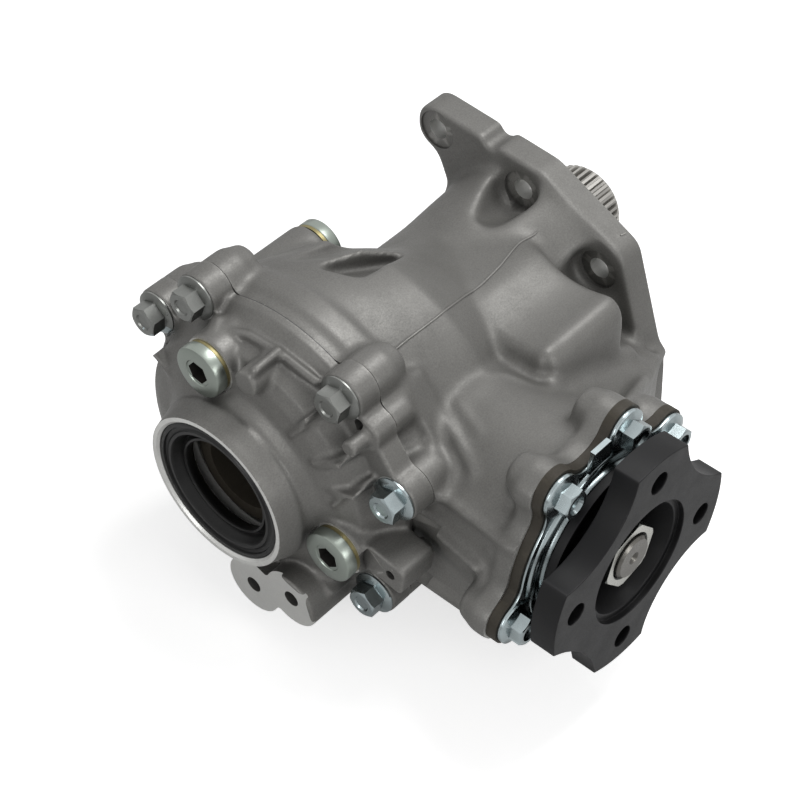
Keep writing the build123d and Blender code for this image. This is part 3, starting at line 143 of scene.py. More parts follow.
# Skin of a metal: clouds of tone, fine grain, and a height for its bump
def makeSkinGroup():
    group, given, result = newGroup(
        "metalSkin",
        [
            ("Base", "NodeSocketColor", (0.3, 0.3, 0.3, 1)),
            ("Cloud", "NodeSocketFloat", 0.2),
            ("Cloud Scale", "NodeSocketFloat", 34.0),
            ("Grain", "NodeSocketFloat", 0.15),
            ("Grain Scale", "NodeSocketFloat", 900.0),
            ("Roughness", "NodeSocketFloat", 0.5),
            ("Roughness Spread", "NodeSocketFloat", 0.15),
        ],
        [("Color", "NodeSocketColor"), ("Roughness", "NodeSocketFloat"), ("Height", "NodeSocketFloat")],
    )
    place = addNode(group, "ShaderNodeTexCoord").outputs["Object"]
    clouds = addNode(
        group, "ShaderNodeTexNoise",
        {"Vector": place, "Scale": given.outputs["Cloud Scale"], "Detail": 5.0, "Roughness": 0.6},
    ).outputs["Fac"]
    grain = addNode(
        group, "ShaderNodeTexNoise",
        {"Vector": place, "Scale": given.outputs["Grain Scale"], "Detail": 4.0, "Roughness": 0.65},
    ).outputs["Fac"]
    grainSide = mathNode(group, "SUBTRACT", grain, 0.5)
    cloudPart = mathNode(group, "MULTIPLY", mathNode(group, "SUBTRACT", clouds, 0.5), given.outputs["Cloud"])
    grainPart = mathNode(group, "MULTIPLY", grainSide, given.outputs["Grain"])
    tone = mathNode(group, "ADD", mathNode(group, "ADD", cloudPart, grainPart), 1.0)
    color = addNode(group, "ShaderNodeVectorMath", {0: given.outputs["Base"]}, operation="SCALE")
    group.links.new(tone, color.inputs["Scale"])
    spread = mathNode(group, "MULTIPLY", grainSide, given.outputs["Roughness Spread"])
    change = mathNode(group, "ADD", spread, cloudPart)
    roughness = mathNode(group, "SUBTRACT", given.outputs["Roughness"], change)
    height = mathNode(group, "ADD", mathNode(group, "MULTIPLY", clouds, cloudHeight), grain)
    group.links.new(color.outputs[0], result.inputs["Color"])
    group.links.new(roughness, result.inputs["Roughness"])
    group.links.new(height, result.inputs["Height"])
    return group


def mapRange(tree, value, low=0.0, high=1.0, toLow=0.0, toHigh=1.0):
    inputs = {"Value": value, "From Min": low, "From Max": high, "To Min": toLow, "To Max": toHigh}
    return addNode(tree, "ShaderNodeMapRange", inputs).outputs[0]


# Lighter edges, partly rubbed wear and partly painted highlight, and painted shade in hollows, from how the
# surface curves, and painted shade where faces meet
def makeEdgeGroup():
    group, given, result = newGroup(
        "edgeWearAndPaintedLight",
        [
            ("Color", "NodeSocketColor", (0.3, 0.3, 0.3, 1)), ("Edge", "NodeSocketFloat", 0.3),
            ("Hollow", "NodeSocketFloat", 0.4), ("Crease", "NodeSocketFloat", 0.5),
        ],
        [("Color", "NodeSocketColor")],
    )
    bend = addNode(group, "ShaderNodeNewGeometry").outputs["Pointiness"]
    # Convex edges lighter, partly rubbed wear and partly painted highlight; concave hollows darker as painted
    # shade
    edge = mapRange(group, bend, 0.52, 0.62)
    hollow = mapRange(group, bend, 0.485, 0.40)
    lift = mathNode(group, "MULTIPLY", edge, given.outputs["Edge"])
    paintedHollowShade = mathNode(group, "MULTIPLY", hollow, given.outputs["Hollow"])
    wearAndPaintedLight = mathNode(group, "SUBTRACT", mathNode(group, "ADD", lift, 1.0), paintedHollowShade)
    reach = {"Distance": creaseReach}
    # Painted shade where faces meet, from ambient occlusion
    openness = addNode(group, "ShaderNodeAmbientOcclusion", reach, samples=4).outputs["AO"]
    shade = mapRange(group, openness, 0.25, 0.9)
    shade = mapRange(group, shade, toLow=given.outputs["Crease"])
    color = addNode(group, "ShaderNodeVectorMath", {0: given.outputs["Color"]}, operation="SCALE")
    group.links.new(mathNode(group, "MULTIPLY", wearAndPaintedLight, shade), color.inputs["Scale"])
    group.links.new(color.outputs[0], result.inputs["Color"])
    return group


# Fine rings left by a turning tool round an axis along X, or along Y when asked
def makeTurnedGroup():
    group, given, result = newGroup(
        "toolMarks",
        [
            ("Round Y", "NodeSocketFloat", 0.0), ("Centre X", "NodeSocketFloat", 0.0),
            ("Scale", "NodeSocketFloat", 3000.0),
        ],
        [("Height", "NodeSocketFloat")],
    )
    place = addNode(group, "ShaderNodeTexCoord").outputs["Object"]
    x, y, z = addNode(group, "ShaderNodeSeparateXYZ", {0: place}).outputs
    across = mathNode(group, "SUBTRACT", x, given.outputs["Centre X"])
    side = addNode(group, "ShaderNodeMix", {0: given.outputs["Round Y"], 2: y, 3: across}).outputs[0]
    sideSquare = mathNode(group, "MULTIPLY", side, side)
    square = mathNode(group, "ADD", sideSquare, mathNode(group, "MULTIPLY", z, z))
    radius = mathNode(group, "SQRT", square)
    rings = addNode(
        group, "ShaderNodeTexNoise",
        {"W": radius, "Scale": given.outputs["Scale"], "Detail": 2.0}, noise_dimensions="1D",
    ).outputs["Fac"]
    group.links.new(rings, result.inputs["Height"])
    return group


cloudHeight = 0.4        # share of the clouds in the bump, beside the grain
creaseReach = 0.012      # metres over which one face shades another
skinGroup = makeSkinGroup()
edgeGroup = makeEdgeGroup()
turnedGroup = makeTurnedGroup()

# A finish is its base colour and what differs from the plain metal: tone, grain, rubbed wear with painted
# highlight on edges, painted shade in hollows and creases, and bump.
# "rings" gives tool marks: 0 round X or 1 round Y, the axis's place on X in metres, and their scale.
plainMetal = {
    "metallic": 0.9, "specular": 0.5, "roughness": 0.3, "spread": 0.2, "cloud": 0.2, "cloudScale": 60.0,
    "grain": 0.2, "grainScale": 1500.0, "edge": 0.3, "hollow": 0.3, "crease": 0.5,
    "bump": 0.12, "bumpDepth": 0.00002,
}
zinc = {"roughness": 0.22, "spread": 0.25, "cloud": 0.25, "cloudScale": 120.0, "grainScale": 1600.0}
finishes = {
    "castAluminium": {
        "base": (0.160, 0.157, 0.148), "metallic": 0.4, "roughness": 0.5, "spread": 0.3, "cloud": 0.5,
        "cloudScale": 26.0, "grain": 0.75, "grainScale": 1300.0, "edge": 0.7, "hollow": 0.6, "crease": 0.6,
        "bump": 0.6, "bumpDepth": 0.0001,
    },
    "machinedAluminium": {
        "base": (0.62, 0.62, 0.60), "metallic": 0.5, "roughness": 0.36, "cloud": 0.15, "cloudScale": 40.0,
        "grain": 0.15, "grainScale": 1200.0, "edge": 0.1, "hollow": 0.2, "crease": 0.6, "bump": 0.2,
        "rings": (0, 0, 4200),
    },
    "zincSteel": {**zinc, "base": (0.34, 0.39, 0.40), "metallic": 1.0},
    "dullZincSteel": {
        **zinc, "base": (0.20, 0.205, 0.195), "metallic": 0.8, "roughness": 0.34, "cloud": 0.3, "grain": 0.25,
    },
    "yellowZinc": {**zinc, "base": (0.36, 0.35, 0.27), "metallic": 1.0, "roughness": 0.25},
    "plugSteel": {
        "base": (0.27, 0.30, 0.27), "roughness": 0.33, "spread": 0.12, "cloud": 0.14, "grain": 0.12,
        "grainScale": 1400.0, "edge": 0.25, "bump": 0.05,
    },
    "washerAluminium": {
        "base": (0.22, 0.19, 0.09), "metallic": 0.7, "roughness": 0.4, "cloudScale": 90.0, "grain": 0.1,
        "grainScale": 1400.0, "edge": 0.2, "hollow": 0.2, "bump": 0.1,
    },
    "blackRubber": {
        "base": (0.006, 0.006, 0.006), "metallic": 0.0, "specular": 0.28, "roughness": 0.36, "cloud": 0.3,
        "grain": 0.3, "edge": 0.4, "hollow": 0.2, "bump": 0.15, "bumpDepth": 0.00003,
    },
    "greySealant": {
        "base": (0.05, 0.05, 0.05), "metallic": 0.0, "roughness": 0.6, "cloud": 0.3, "edge": 0.1,
        "hollow": 0.1, "bump": 0.2, "bumpDepth": 0.00004,
    },
    "oiledIron": {
        "base": (0.038, 0.033, 0.025), "metallic": 0.2, "specular": 0.3, "roughness": 0.55, "spread": 0.3,
        "cloud": 0.5, "cloudScale": 80.0, "grain": 0.4, "grainScale": 1300.0, "edge": 0.4, "bump": 0.3,
        "bumpDepth": 0.00005,
    },
    "blackSteel": {
        "base": (0.006, 0.006, 0.0065), "metallic": 0.0, "specular": 0.2, "roughness": 0.42, "cloud": 0.25,
        "grain": 0.5, "grainScale": 1800.0, "edge": 1.2, "hollow": 0.2, "bump": 0.25, "bumpDepth": 0.00004,
    },
    "bearingSteel": {
        "base": (0.50, 0.50, 0.50), "metallic": 1.0, "roughness": 0.2, "spread": 0.1, "cloud": 0.1,
        "grain": 0.05, "edge": 0.1, "hollow": 0.1, "bump": 0.05, "bumpDepth": 0.00001,
    },
    "machinedSteel": {
        "base": (0.36, 0.35, 0.33), "grain": 0.15, "edge": 0.4, "hollow": 0.4, "bump": 0.15,
        "rings": (0, 0, 3000),
    },
    "pinionSteel": {
        "base": (0.12, 0.115, 0.105), "cloudScale": 90.0, "grainScale": 1600.0, "edge": 0.8, "bump": 0.2,
        "rings": (1, -0.127, 2500),
    },
    "nutFace": {
        "base": (0.44, 0.44, 0.41), "roughness": 0.28, "spread": 0.15, "cloudScale": 90.0,
        "grainScale": 1600.0, "edge": 0.2, "hollow": 0.2,
    },
    "nutSteel": {
        "base": (0.09, 0.095, 0.09), "spread": 0.25, "cloud": 0.3, "cloudScale": 90.0, "grainScale": 1600.0,
        "edge": 0.6,
    },
    "darkSocket": {
        "base": (0.03, 0.026, 0.022), "metallic": 0.3, "roughness": 0.6, "cloud": 0.4, "cloudScale": 200.0,
        "grain": 0.3, "grainScale": 1600.0, "edge": 0.2, "hollow": 0.1, "bump": 0.2, "bumpDepth": 0.00003,
    },
}


def makeFinish(name, changes):
    look = {**plainMetal, **changes}
    material = bpy.data.materials.new(name)
    material.use_nodes = True
    tree = material.node_tree
    shader = next(node for node in tree.nodes if node.type == "BSDF_PRINCIPLED")
    shader.inputs["Metallic"].default_value = look["metallic"]
    shader.inputs["Specular IOR Level"].default_value = look["specular"]
    skinInputs = {
        "Base": (*look["base"], 1), "Cloud": look["cloud"], "Cloud Scale": look["cloudScale"],
        "Grain": look["grain"], "Grain Scale": look["grainScale"], "Roughness": look["roughness"],
        "Roughness Spread": look["spread"],
    }
    skin = addNode(tree, "ShaderNodeGroup", node_tree=skinGroup)
    for label, value in skinInputs.items():
        skin.inputs[label].default_value = value
    edge = addNode(tree, "ShaderNodeGroup", node_tree=edgeGroup)
    for label in ("edge", "hollow", "crease"):
        edge.inputs[label.title()].default_value = look[label]
    tree.links.new(skin.outputs["Color"], edge.inputs["Color"])
    tree.links.new(edge.outputs["Color"], shader.inputs["Base Color"])
    tree.links.new(skin.outputs["Roughness"], shader.inputs["Roughness"])
    height = skin.outputs["Height"]
    if "rings" in look:
        marks = addNode(tree, "ShaderNodeGroup", node_tree=turnedGroup)
        for label, value in zip(("Round Y", "Centre X", "Scale"), look["rings"]):
            marks.inputs[label].default_value = value
        height = mathNode(tree, "ADD", height, marks.outputs["Height"])
    bumpInputs = {"Strength": look["bump"], "Distance": look["bumpDepth"], "Height": height}
    bump = addNode(tree, "ShaderNodeBump", bumpInputs)
    tree.links.new(bump.outputs["Normal"], shader.inputs["Normal"])
    return material


materials = {name: makeFinish(name, changes) for name, changes in finishes.items()}
print("finishes made:", len(materials))

# Finish of the nodes, under the pieces that replace them too; the others are bearing steel
nodeFinish = {
    "cover_sealant": "greySealant", "cover_dowels": "machinedSteel", "upper_plug": "plugSteel",
    "lower_plug": "plugSteel", "rear_plug": "plugSteel", "plug_washers": "washerAluminium",
    "side_oil_seal": "blackRubber", "shaft_oil_seal": "blackRubber", "pinion_oil_seal": "blackRubber",
    "spigot_o_ring": "blackRubber", "cage_o_ring": "blackRubber", "ring_gear_case": "oiledIron",
    "input_shaft": "machinedSteel", "ring_gear": "machinedSteel", "ring_gear_bolts": "machinedSteel",
    "drive_pinion": "pinionSteel", "pinion_spacer": "machinedSteel", "pinion_bearing_cage": "oiledIron",
    "dust_shield": "zincSteel", "companion_flange": "blackSteel", "pinion_nut": "zincSteel",
}


def paint(target, *names):
    if target.data.materials:
        target.data.materials.clear()
    for name in names:
        target.data.materials.append(materials[name])


for name, node in frame["nodes"].items():
    paint(node, nodeFinish.get(name, "bearingSteel"))


# Mesh helpers; every size is millimetres until makeObject turns it into metres
def makeObject(name, bm):
    mesh = bpy.data.meshes.new(name)
    bm.to_mesh(mesh)
    bm.free()
    made = bpy.data.objects.new(name, mesh)
    scene.collection.objects.link(made)
    return made


def turnedInto(bm, profile, centre=(0, 0, 0), along="X", steps=96, slot=0):
    made = []
    rings = []
    for radius, distance in profile:
        row = []
        for step in range(steps):
            angle = 2 * math.pi * step / steps
            a, b = radius * math.cos(angle), radius * math.sin(angle)
            point = (distance, a, b) if along == "X" else (a, distance, b)
            row.append(bm.verts.new([(p + c) * mm for p, c in zip(point, centre)]))
        rings.append(row)
    for near, far in zip(rings, rings[1:] + rings[:1]):
        for step in range(steps):
            after = (step + 1) % steps
            made.append(bm.faces.new((near[step], near[after], far[after], far[step])))
    verts = [v for row in rings for v in row]
    for face in made:
        face.material_index = slot
    bmesh.ops.remove_doubles(bm, verts=verts, dist=1e-7)


def turnedObject(name, profile, **where):
    bm = bmesh.new()
    turnedInto(bm, profile, **where)
    bmesh.ops.recalc_face_normals(bm, faces=bm.faces)
    return makeObject(name, bm)


def hullInto(bm, points, slot=0):
    verts = [bm.verts.new([p * mm for p in point]) for point in points]
    result = bmesh.ops.convex_hull(bm, input=verts)
    unused = [v for v in result["geom_unused"] + result["geom_interior"] if isinstance(v, bmesh.types.BMVert)]
    bmesh.ops.delete(bm, geom=list(set(unused)), context="VERTS")
    for face in result["geom"]:
        if isinstance(face, bmesh.types.BMFace):
            face.material_index = slot


def ball(centre, radius, rings=4, steps=10):
    points = []
    for ring in range(rings + 1):
        tilt = math.pi * ring / rings
        for step in range(steps):
            turn = 2 * math.pi * step / steps
            points.append((
                centre[0] + radius * math.sin(tilt) * math.cos(turn),
                centre[1] + radius * math.sin(tilt) * math.sin(turn),
                centre[2] + radius * math.cos(tilt),
            ))
    return points


def bead(bm, path, radius):
    for near, far in zip(path, path[1:]):
        hullInto(bm, ball(near, radius) + ball(far, radius))


# A round bar along a path of points, closed at both ends
def tubeInto(bm, path, radius, sides=8, slot=0):
    path = [Vector(point) for point in path]
    rings = []
    side = None
    for step, point in enumerate(path):
        ahead = (path[min(step + 1, len(path) - 1)] - path[max(step - 1, 0)]).normalized()
        side = (side - ahead * side.dot(ahead)).normalized() if side else ahead.orthogonal().normalized()
        up = ahead.cross(side)
        rings.append([
            bm.verts.new((point + (side * math.cos(turn) + up * math.sin(turn)) * radius) * mm)
            for turn in (2 * math.pi * index / sides for index in range(sides))
        ])
    made = [bm.faces.new(rings[0]), bm.faces.new(rings[-1])]
    for near, far in zip(rings, rings[1:]):
        for index in range(sides):
            after = (index + 1) % sides
            made.append(bm.faces.new((near[index], near[after], far[after], far[index])))
    for face in made:
        face.material_index = slot


def applyModifier(target, modifier):
    dg = bpy.context.evaluated_depsgraph_get()
    mesh = bpy.data.meshes.new_from_object(target.evaluated_get(dg))
    target.modifiers.remove(modifier)
    old = target.data
    target.data = mesh
    bpy.data.meshes.remove(old)


def modify(target, kind, **settings):
    modifier = target.modifiers.new(kind.lower(), kind)
    for key, value in settings.items():
        setattr(modifier, key, value)
    applyModifier(target, modifier)


def cutWith(target, cutters):
    for cutter in cutters:
        modify(target, "BOOLEAN", operation="DIFFERENCE", object=cutter, solver="MANIFOLD")
        bpy.data.objects.remove(cutter)


def smoothShade(target, angle=38):
    target.data.shade_smooth()
    target.data.set_sharp_from_angle(angle=math.radians(angle))


def finishPiece(target, body, node):
    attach(target, body)
    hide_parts(node)


def mergedMesh(node):
    bm = bmesh.new()
    bm.from_mesh(frame["nodes"][node].data)
    bmesh.ops.remove_doubles(bm, verts=bm.verts, dist=2e-6)
    return bm


def polar(radius, angle):
    return radius * math.cos(math.radians(angle)), radius * math.sin(math.radians(angle))


def spaced(path, gap):
    points = []
    for near, far in zip(path, path[1:]):
        near, far = Vector(near), Vector(far)
        count = max(1, round((far - near).length / gap))
        points += [near.lerp(far, step / count) for step in range(count)]
    return points + [Vector(path[-1])]


# A cast surface: hollows are filled out to the fillet's radius, then the outer edges are rounded
def castSurface(target, look):
    mesh = target.data
    points = np.empty(len(mesh.vertices) * 3, np.float32)
    mesh.vertices.foreach_get("co", points)
    points = points.reshape(-1, 3)
    mesh.calc_loop_triangles()
    corners = np.empty(len(mesh.loop_triangles) * 3, np.int32)
    mesh.loop_triangles.foreach_get("vertices", corners)
    faces = {"triangles": corners.reshape(-1, 3).astype(np.uint32)}
    voxel = look["voxel"] * mm
    raster = vdb.createLinearTransform(voxelSize=voxel)
    for shift in (look["fillet"], -look["fillet"] - look["round"], look["round"]):
        grid = vdb.FloatGrid.createLevelSetFromPolygons(
            points, transform=raster, halfWidth=abs(shift) * mm / voxel + 2, **faces,
        )
        points, quads = grid.convertToQuads(isovalue=shift * mm)
        faces = {"quads": quads.astype(np.uint32)}
    made = bpy.data.meshes.new(target.name)
    made.from_pydata(points.tolist(), [], quads[:, ::-1].tolist())
    target.data = made
    bpy.data.meshes.remove(mesh)


# Long soft curves of a casting, inside a box and fading out over its edge
def soften(target, region):
    group = target.vertex_groups.new(name="soft")
    low, high, fade = region["low"], region["high"], region["fade"]
    for vertex in target.data.vertices:
        inside = min(min(c / mm - a, b - c / mm) for c, a, b in zip(vertex.co, low, high))
        if inside > 0:
            group.add([vertex.index], min(1.0, inside / fade), "REPLACE")
    modify(target, "SMOOTH", factor=0.5, iterations=region["passes"], vertex_group="soft")
    target.vertex_groups.clear()


# A casting starts from the node's mesh with its machined faces grown outwards and its bores filled
def growFace(bm, node, face):
    slab = mergedMesh(node)
    normal = Vector([face["side"] if axis == face["axis"] else 0 for axis in range(3)])
    origin = Vector([face["plane"] * mm if axis == face["axis"] else 0 for axis in range(3)])
    everything = slab.verts[:] + slab.edges[:] + slab.faces[:]
    cut = bmesh.ops.bisect_plane(slab, geom=everything, plane_co=origin, plane_no=normal, clear_inner=True)
    edges = [e for e in cut["geom_cut"] if isinstance(e, bmesh.types.BMEdge)]
    bmesh.ops.triangle_fill(slab, edges=edges, use_beauty=True, use_dissolve=False)
    bmesh.ops.translate(slab, verts=slab.verts, vec=normal * face["shift"] * mm)
    bmesh.ops.recalc_face_normals(slab, faces=slab.faces)
    mesh = bpy.data.meshes.new("slab")
    slab.to_mesh(mesh)
    slab.free()
    bm.from_mesh(mesh)
    bpy.data.meshes.remove(mesh)


# A round rod between two places along X or Y, round a centre given by the other two coordinates
def rod(size, centre):
    start, end, radius = size["start"], size["end"], size["radius"]
    along = size.get("along", "X")
    place = (0, *centre) if along == "X" else (centre[0], 0, centre[1])
    profile = [(0, start), (radius, start), (radius, end), (0, end)]
    return {"profile": profile, "centre": place, "along": along}


def rawCasting(name, node, look):
    bm = mergedMesh(node)
    for face in look["grow"]:
        growFace(bm, node, face)
    for filler in look["fill"]:
        turnedInto(bm, **filler)
    for peg in look["pegs"]:
        for centre in peg["centres"]:
            turnedInto(bm, **rod(peg, centre))
    for path, radius in look["beads"]:
        bead(bm, path, radius)
    for corners, radius in look["webs"]:
        hullInto(bm, [point for corner in corners for point in ball(corner, radius)])
    bmesh.ops.recalc_face_normals(bm, faces=bm.faces)
    made = makeObject(name, bm)
    castSurface(made, look)
    for corners in look["carve"]:
        bm = bmesh.new()
        hullInto(bm, corners)
        bmesh.ops.recalc_face_normals(bm, faces=bm.faces)
        cutWith(made, [makeObject("hollow", bm)])
    if look["carve"]:
        castSurface(made, {**look, **look["carved"]})
    modify(made, "SMOOTH", factor=0.5, iterations=look["smooth"])
    for region in look["soften"]:
        soften(made, region)
    modify(made, "DECIMATE", ratio=look["keep"])
    paint(made, *castFinishes)
    return made


# Thin raised lines on a casting, such as the seam where two halves of its mould met
def addSeams(target, seams):
    vertices = [vertex.co for vertex in target.data.vertices]
    tree = BVHTree.FromPolygons(vertices, [polygon.vertices for polygon in target.data.polygons])
    bm = bmesh.new()
    for path, radius in seams:
        row = []
        for point in spaced(path, seamStep):
            spot = tree.find_nearest(point * mm)[0] / mm
            if not row or (spot - row[-1]).length > seamStep / 2:
                row.append(spot)
        tubeInto(bm, row, radius)
    bmesh.ops.recalc_face_normals(bm, faces=bm.faces)
    line = makeObject("seam", bm)
    modify(target, "BOOLEAN", operation="UNION", object=line, solver="MANIFOLD")
    bpy.data.objects.remove(line)


# A straight prism on an outline of points across X or Y
def prism(name, outline, along, start, end, slot=0):
    bm = bmesh.new()
    rows = []
    for place in (start, end):
        corners = [(place, a, b) if along == "X" else (a, place, b) for a, b in outline]
        rows.append([bm.verts.new([value * mm for value in corner]) for corner in corners])
    bm.faces.new(rows[0])
    bm.faces.new(rows[1])
    count = len(outline)
    for step in range(count):
        after = (step + 1) % count
        bm.faces.new((rows[0][step], rows[0][after], rows[1][after], rows[1][step]))
    bmesh.ops.recalc_face_normals(bm, faces=bm.faces)
    for face in bm.faces:
        face.material_index = slot
    return makeObject(name, bm)


def hexagon(centre, width, turn=0.0):
    corners = [polar(width / math.sqrt(3), turn + 60 * side) for side in range(6)]
    return [(centre[0] + a, centre[1] + b) for a, b in corners]


# Cutters of the machined faces, bores and holes; slot 0 leaves the cut with the cast finish
def turnedCutter(profile, slot=1, **where):
    cutter = turnedObject("cutter", profile, slot=slot, **where)
    paint(cutter, *castFinishes)
    return cutter


def makeCasting(name, node, look):
    casting = rawCasting(name, node, look)
    cuts = [turnedCutter(**bore) for bore in look["bores"]]
    for pad in look["pads"]:
        cuts.append(prism("cutter", pad["outline"], "X", pad["start"], pad["end"], slot=1))
        paint(cuts[-1], *castFinishes)
    for hole in look["holes"]:
        for centre in hole["centres"]:
            cuts.append(turnedCutter(slot=hole.get("slot", 1), steps=48, **rod(hole, centre)))
    if look["seams"]:
        addSeams(casting, look["seams"])
    cutWith(casting, cuts)
    smoothShade(casting)
    finishPiece(casting, "housing", node)
    faces = casting.data.polygons
    print(name, len(faces), "faces,", sum(face.material_index for face in faces), "of them machined")


castFinishes = ("castAluminium", "machinedAluminium")
seamStep = 4.0

# Centre lines and faces of the unit, as in the frame
pinionX = -127.0
jointX = -175.0          # between the housing and the cover
plateX = -187.0          # under the cover's bolts
lugX = -199.0
plugSeatX = -203.0
bracketX = -212.0
rimX = -222.0            # end of the hub
rearSeatX = -105.0       # rear plug
flangeBackX = -14.0      # back of the gearbox flange, whose face is at 0
outputY = -135.0         # under the bearing cage
onPinion = {"centre": (pinionX, 0, 0), "along": "Y"}
coverBolts = [polar(81.5, angle) for angle in (32.5, 60.0, 125.0, 162.0, 217.5, 277.0, 318.0)]
outputBoltAngles = (25.0, 73.0, 120.0, 192.0, 252.0, 312.0)
outputBolts = [(pinionX + x, z) for x, z in (polar(55.5, angle) for angle in outputBoltAngles)]
flangeHoles = [(49.0, 58.0), (-5.6, 50.0), (-54.0, 28.0), (-77.0, -62.0), (-8.0, -67.0), (44.0, -49.0)]
plugCentres = [polar(58.8, 73.0), polar(58.8, 189.0)]
rearPlugCentre = (49.0, 39.0)
bracketHoles = [(-10.0, -66.0), (-35.0, -56.0)]
dowelHoles = [polar(80.0, 139.0), polar(80.0, 303.0)]
lugHole = (-85.0, -10.0)

# "fill", "pegs" and "grow" close and thicken the node's mesh, "beads" and "webs" are ridges and ribs
# with their radius, "carve" cuts hulls out, and the rest is cut or laid on once the skin is rounded.
housingLook = {
    "voxel": 1.05, "fillet": 3.2, "round": 0.8, "smooth": 1, "keep": 0.6,
    "grow": [
        {"axis": 0, "plane": -165.0, "side": -1, "shift": 1.8},
        {"axis": 0, "plane": -9.0, "side": 1, "shift": 4.0},
        {"axis": 1, "plane": -129.0, "side": -1, "shift": 4.0},
    ],
    "fill": [
        {
            "profile": [
                (0, -178.6), (71.5, -178.6), (71.5, -142), (50, -110), (39.5, -98), (39.5, 11), (0, 11),
            ],
        },
        {"profile": [(0, -139), (38.6, -139), (38.6, -38), (0, -38)], **onPinion},
    ],
    "pegs": [
        {"centres": [(-123.5, 12.5)], "start": -172, "end": -176.4, "radius": 4.4},
        {"centres": coverBolts, "start": jointX - 3, "end": jointX + 18, "radius": 6},
        {"centres": dowelHoles, "start": jointX - 3, "end": jointX + 10, "radius": 4},
        {"centres": outputBolts, "start": outputY - 3, "end": outputY + 18, "radius": 6, "along": "Y"},
        {"centres": flangeHoles, "start": flangeBackX - 0.5, "end": 3.5, "radius": 7},
    ],
    "beads": [
        ([(-1, -86, -17), (-43, -105, 7), (-105, -133, 52)], 3.2),
        (
            [
                (-143.6, -69, 39), (-116.7, -69, 41), (-108.9, -74, 38.5), (-104.7, -93, 38),
                (-82.9, -90, 31), (-60, -90, 21),
            ],
            2.6,
        ),
        ([(-36, -87, 6), (-36, -88, 2)], 8.0),
        ([(-147, -71, 39), (-153, -86, 36), (-157, -97, 33)], 3.2),
        ([(-138, -71, 41), (-144, -88, 40), (-149, -101, 37)], 2.6),
    ],
    "webs": [([(-150, 40, 60), (-112, 33, 56), (-150, 30, 50), (-112, 30, 46)], 3.0)],
    "carve": [
        [
            (-141, 15.5, 75.6), (-90, 3, 56.2), (-141, 29, 68), (-90, 29, 44), (-141, 15.5, 95), (-90, 3, 95),
            (-141, 29, 95), (-90, 29, 95),
        ],
        [
            (-141, 12.6, 80), (-141, 3, 80), (-131, -11, 80), (-117, -11, 80), (-97, -4, 70), (-93, 0.6, 68),
            (-139.5, 12.2, 72), (-133, 10, 66), (-131, -6, 70), (-117, -6, 65.5), (-105, -3, 57),
            (-101, 1.5, 55), (-94, 0.8, 53),
        ],
    ],
    "carved": {"fillet": 1.3, "round": 0.6},
    "soften": [{"low": (-90, -104, 4), "high": (-14, 60, 90), "fade": 9, "passes": 110}],
    "seams": [
        (
            [
                (-160, -43, 64), (-140.3, -42.6, 64.2), (-120.8, -42.5, 63.5), (-92.9, -35.9, 53.4),
                (-63.5, -32.3, 49.6), (-26, -25, 40),
            ],
            0.6,
        ),
        ([(-2, -66, 60), (-7, -60, 50)], 0.5),
    ],
    "bores": [
        {"profile": [(0, -190), (94, -190), (94, jointX + 0.4), (0, jointX + 0.4)], "slot": 0},
        {"profile": [(36, 0), (140, 0), (140, 20), (36, 20)]},
        {"profile": [(0, 7), (40, 7), (40, 20), (0, 20)]},
        {"profile": [(0, -150), (90, -150), (90, outputY), (0, outputY)], **onPinion},
        {
            "profile": [
                (0, -176), (70, -176), (70, -143), (46, -111), (38, -99), (38, -73.75), (33, -73.75),
                (33, -68.75), (35, -65.75), (35, -25), (32, -20), (32, 8), (0, 8),
            ],
        },
        {"profile": [(0, -136), (37.52, -136), (37.52, -40), (0, -40)], **onPinion},
        {"profile": [(34, 2), (37, 2), (37, 4.6), (34, 4.6)]},
    ],
    "pads": [],
    "holes": [
        {"centres": coverBolts, "start": jointX - 1, "end": jointX + 15.5, "radius": 4.25},
        {"centres": dowelHoles, "start": jointX - 1, "end": jointX + 8, "radius": 3.02},
        {"centres": outputBolts, "start": outputY - 1, "end": outputY + 15.5, "radius": 4.25, "along": "Y"},
        {"centres": flangeHoles, "start": flangeBackX - 6, "end": 10, "radius": 5.5},
        {
            "centres": flangeHoles, "start": flangeBackX - 7, "end": flangeBackX + 0.2, "radius": 10.5,
            "slot": 0,
        },
        {"centres": [rearPlugCentre], "start": -151, "end": -101, "radius": 9.0},
        {"centres": [rearPlugCentre], "start": rearSeatX, "end": -85, "radius": 13.9},
    ],
}
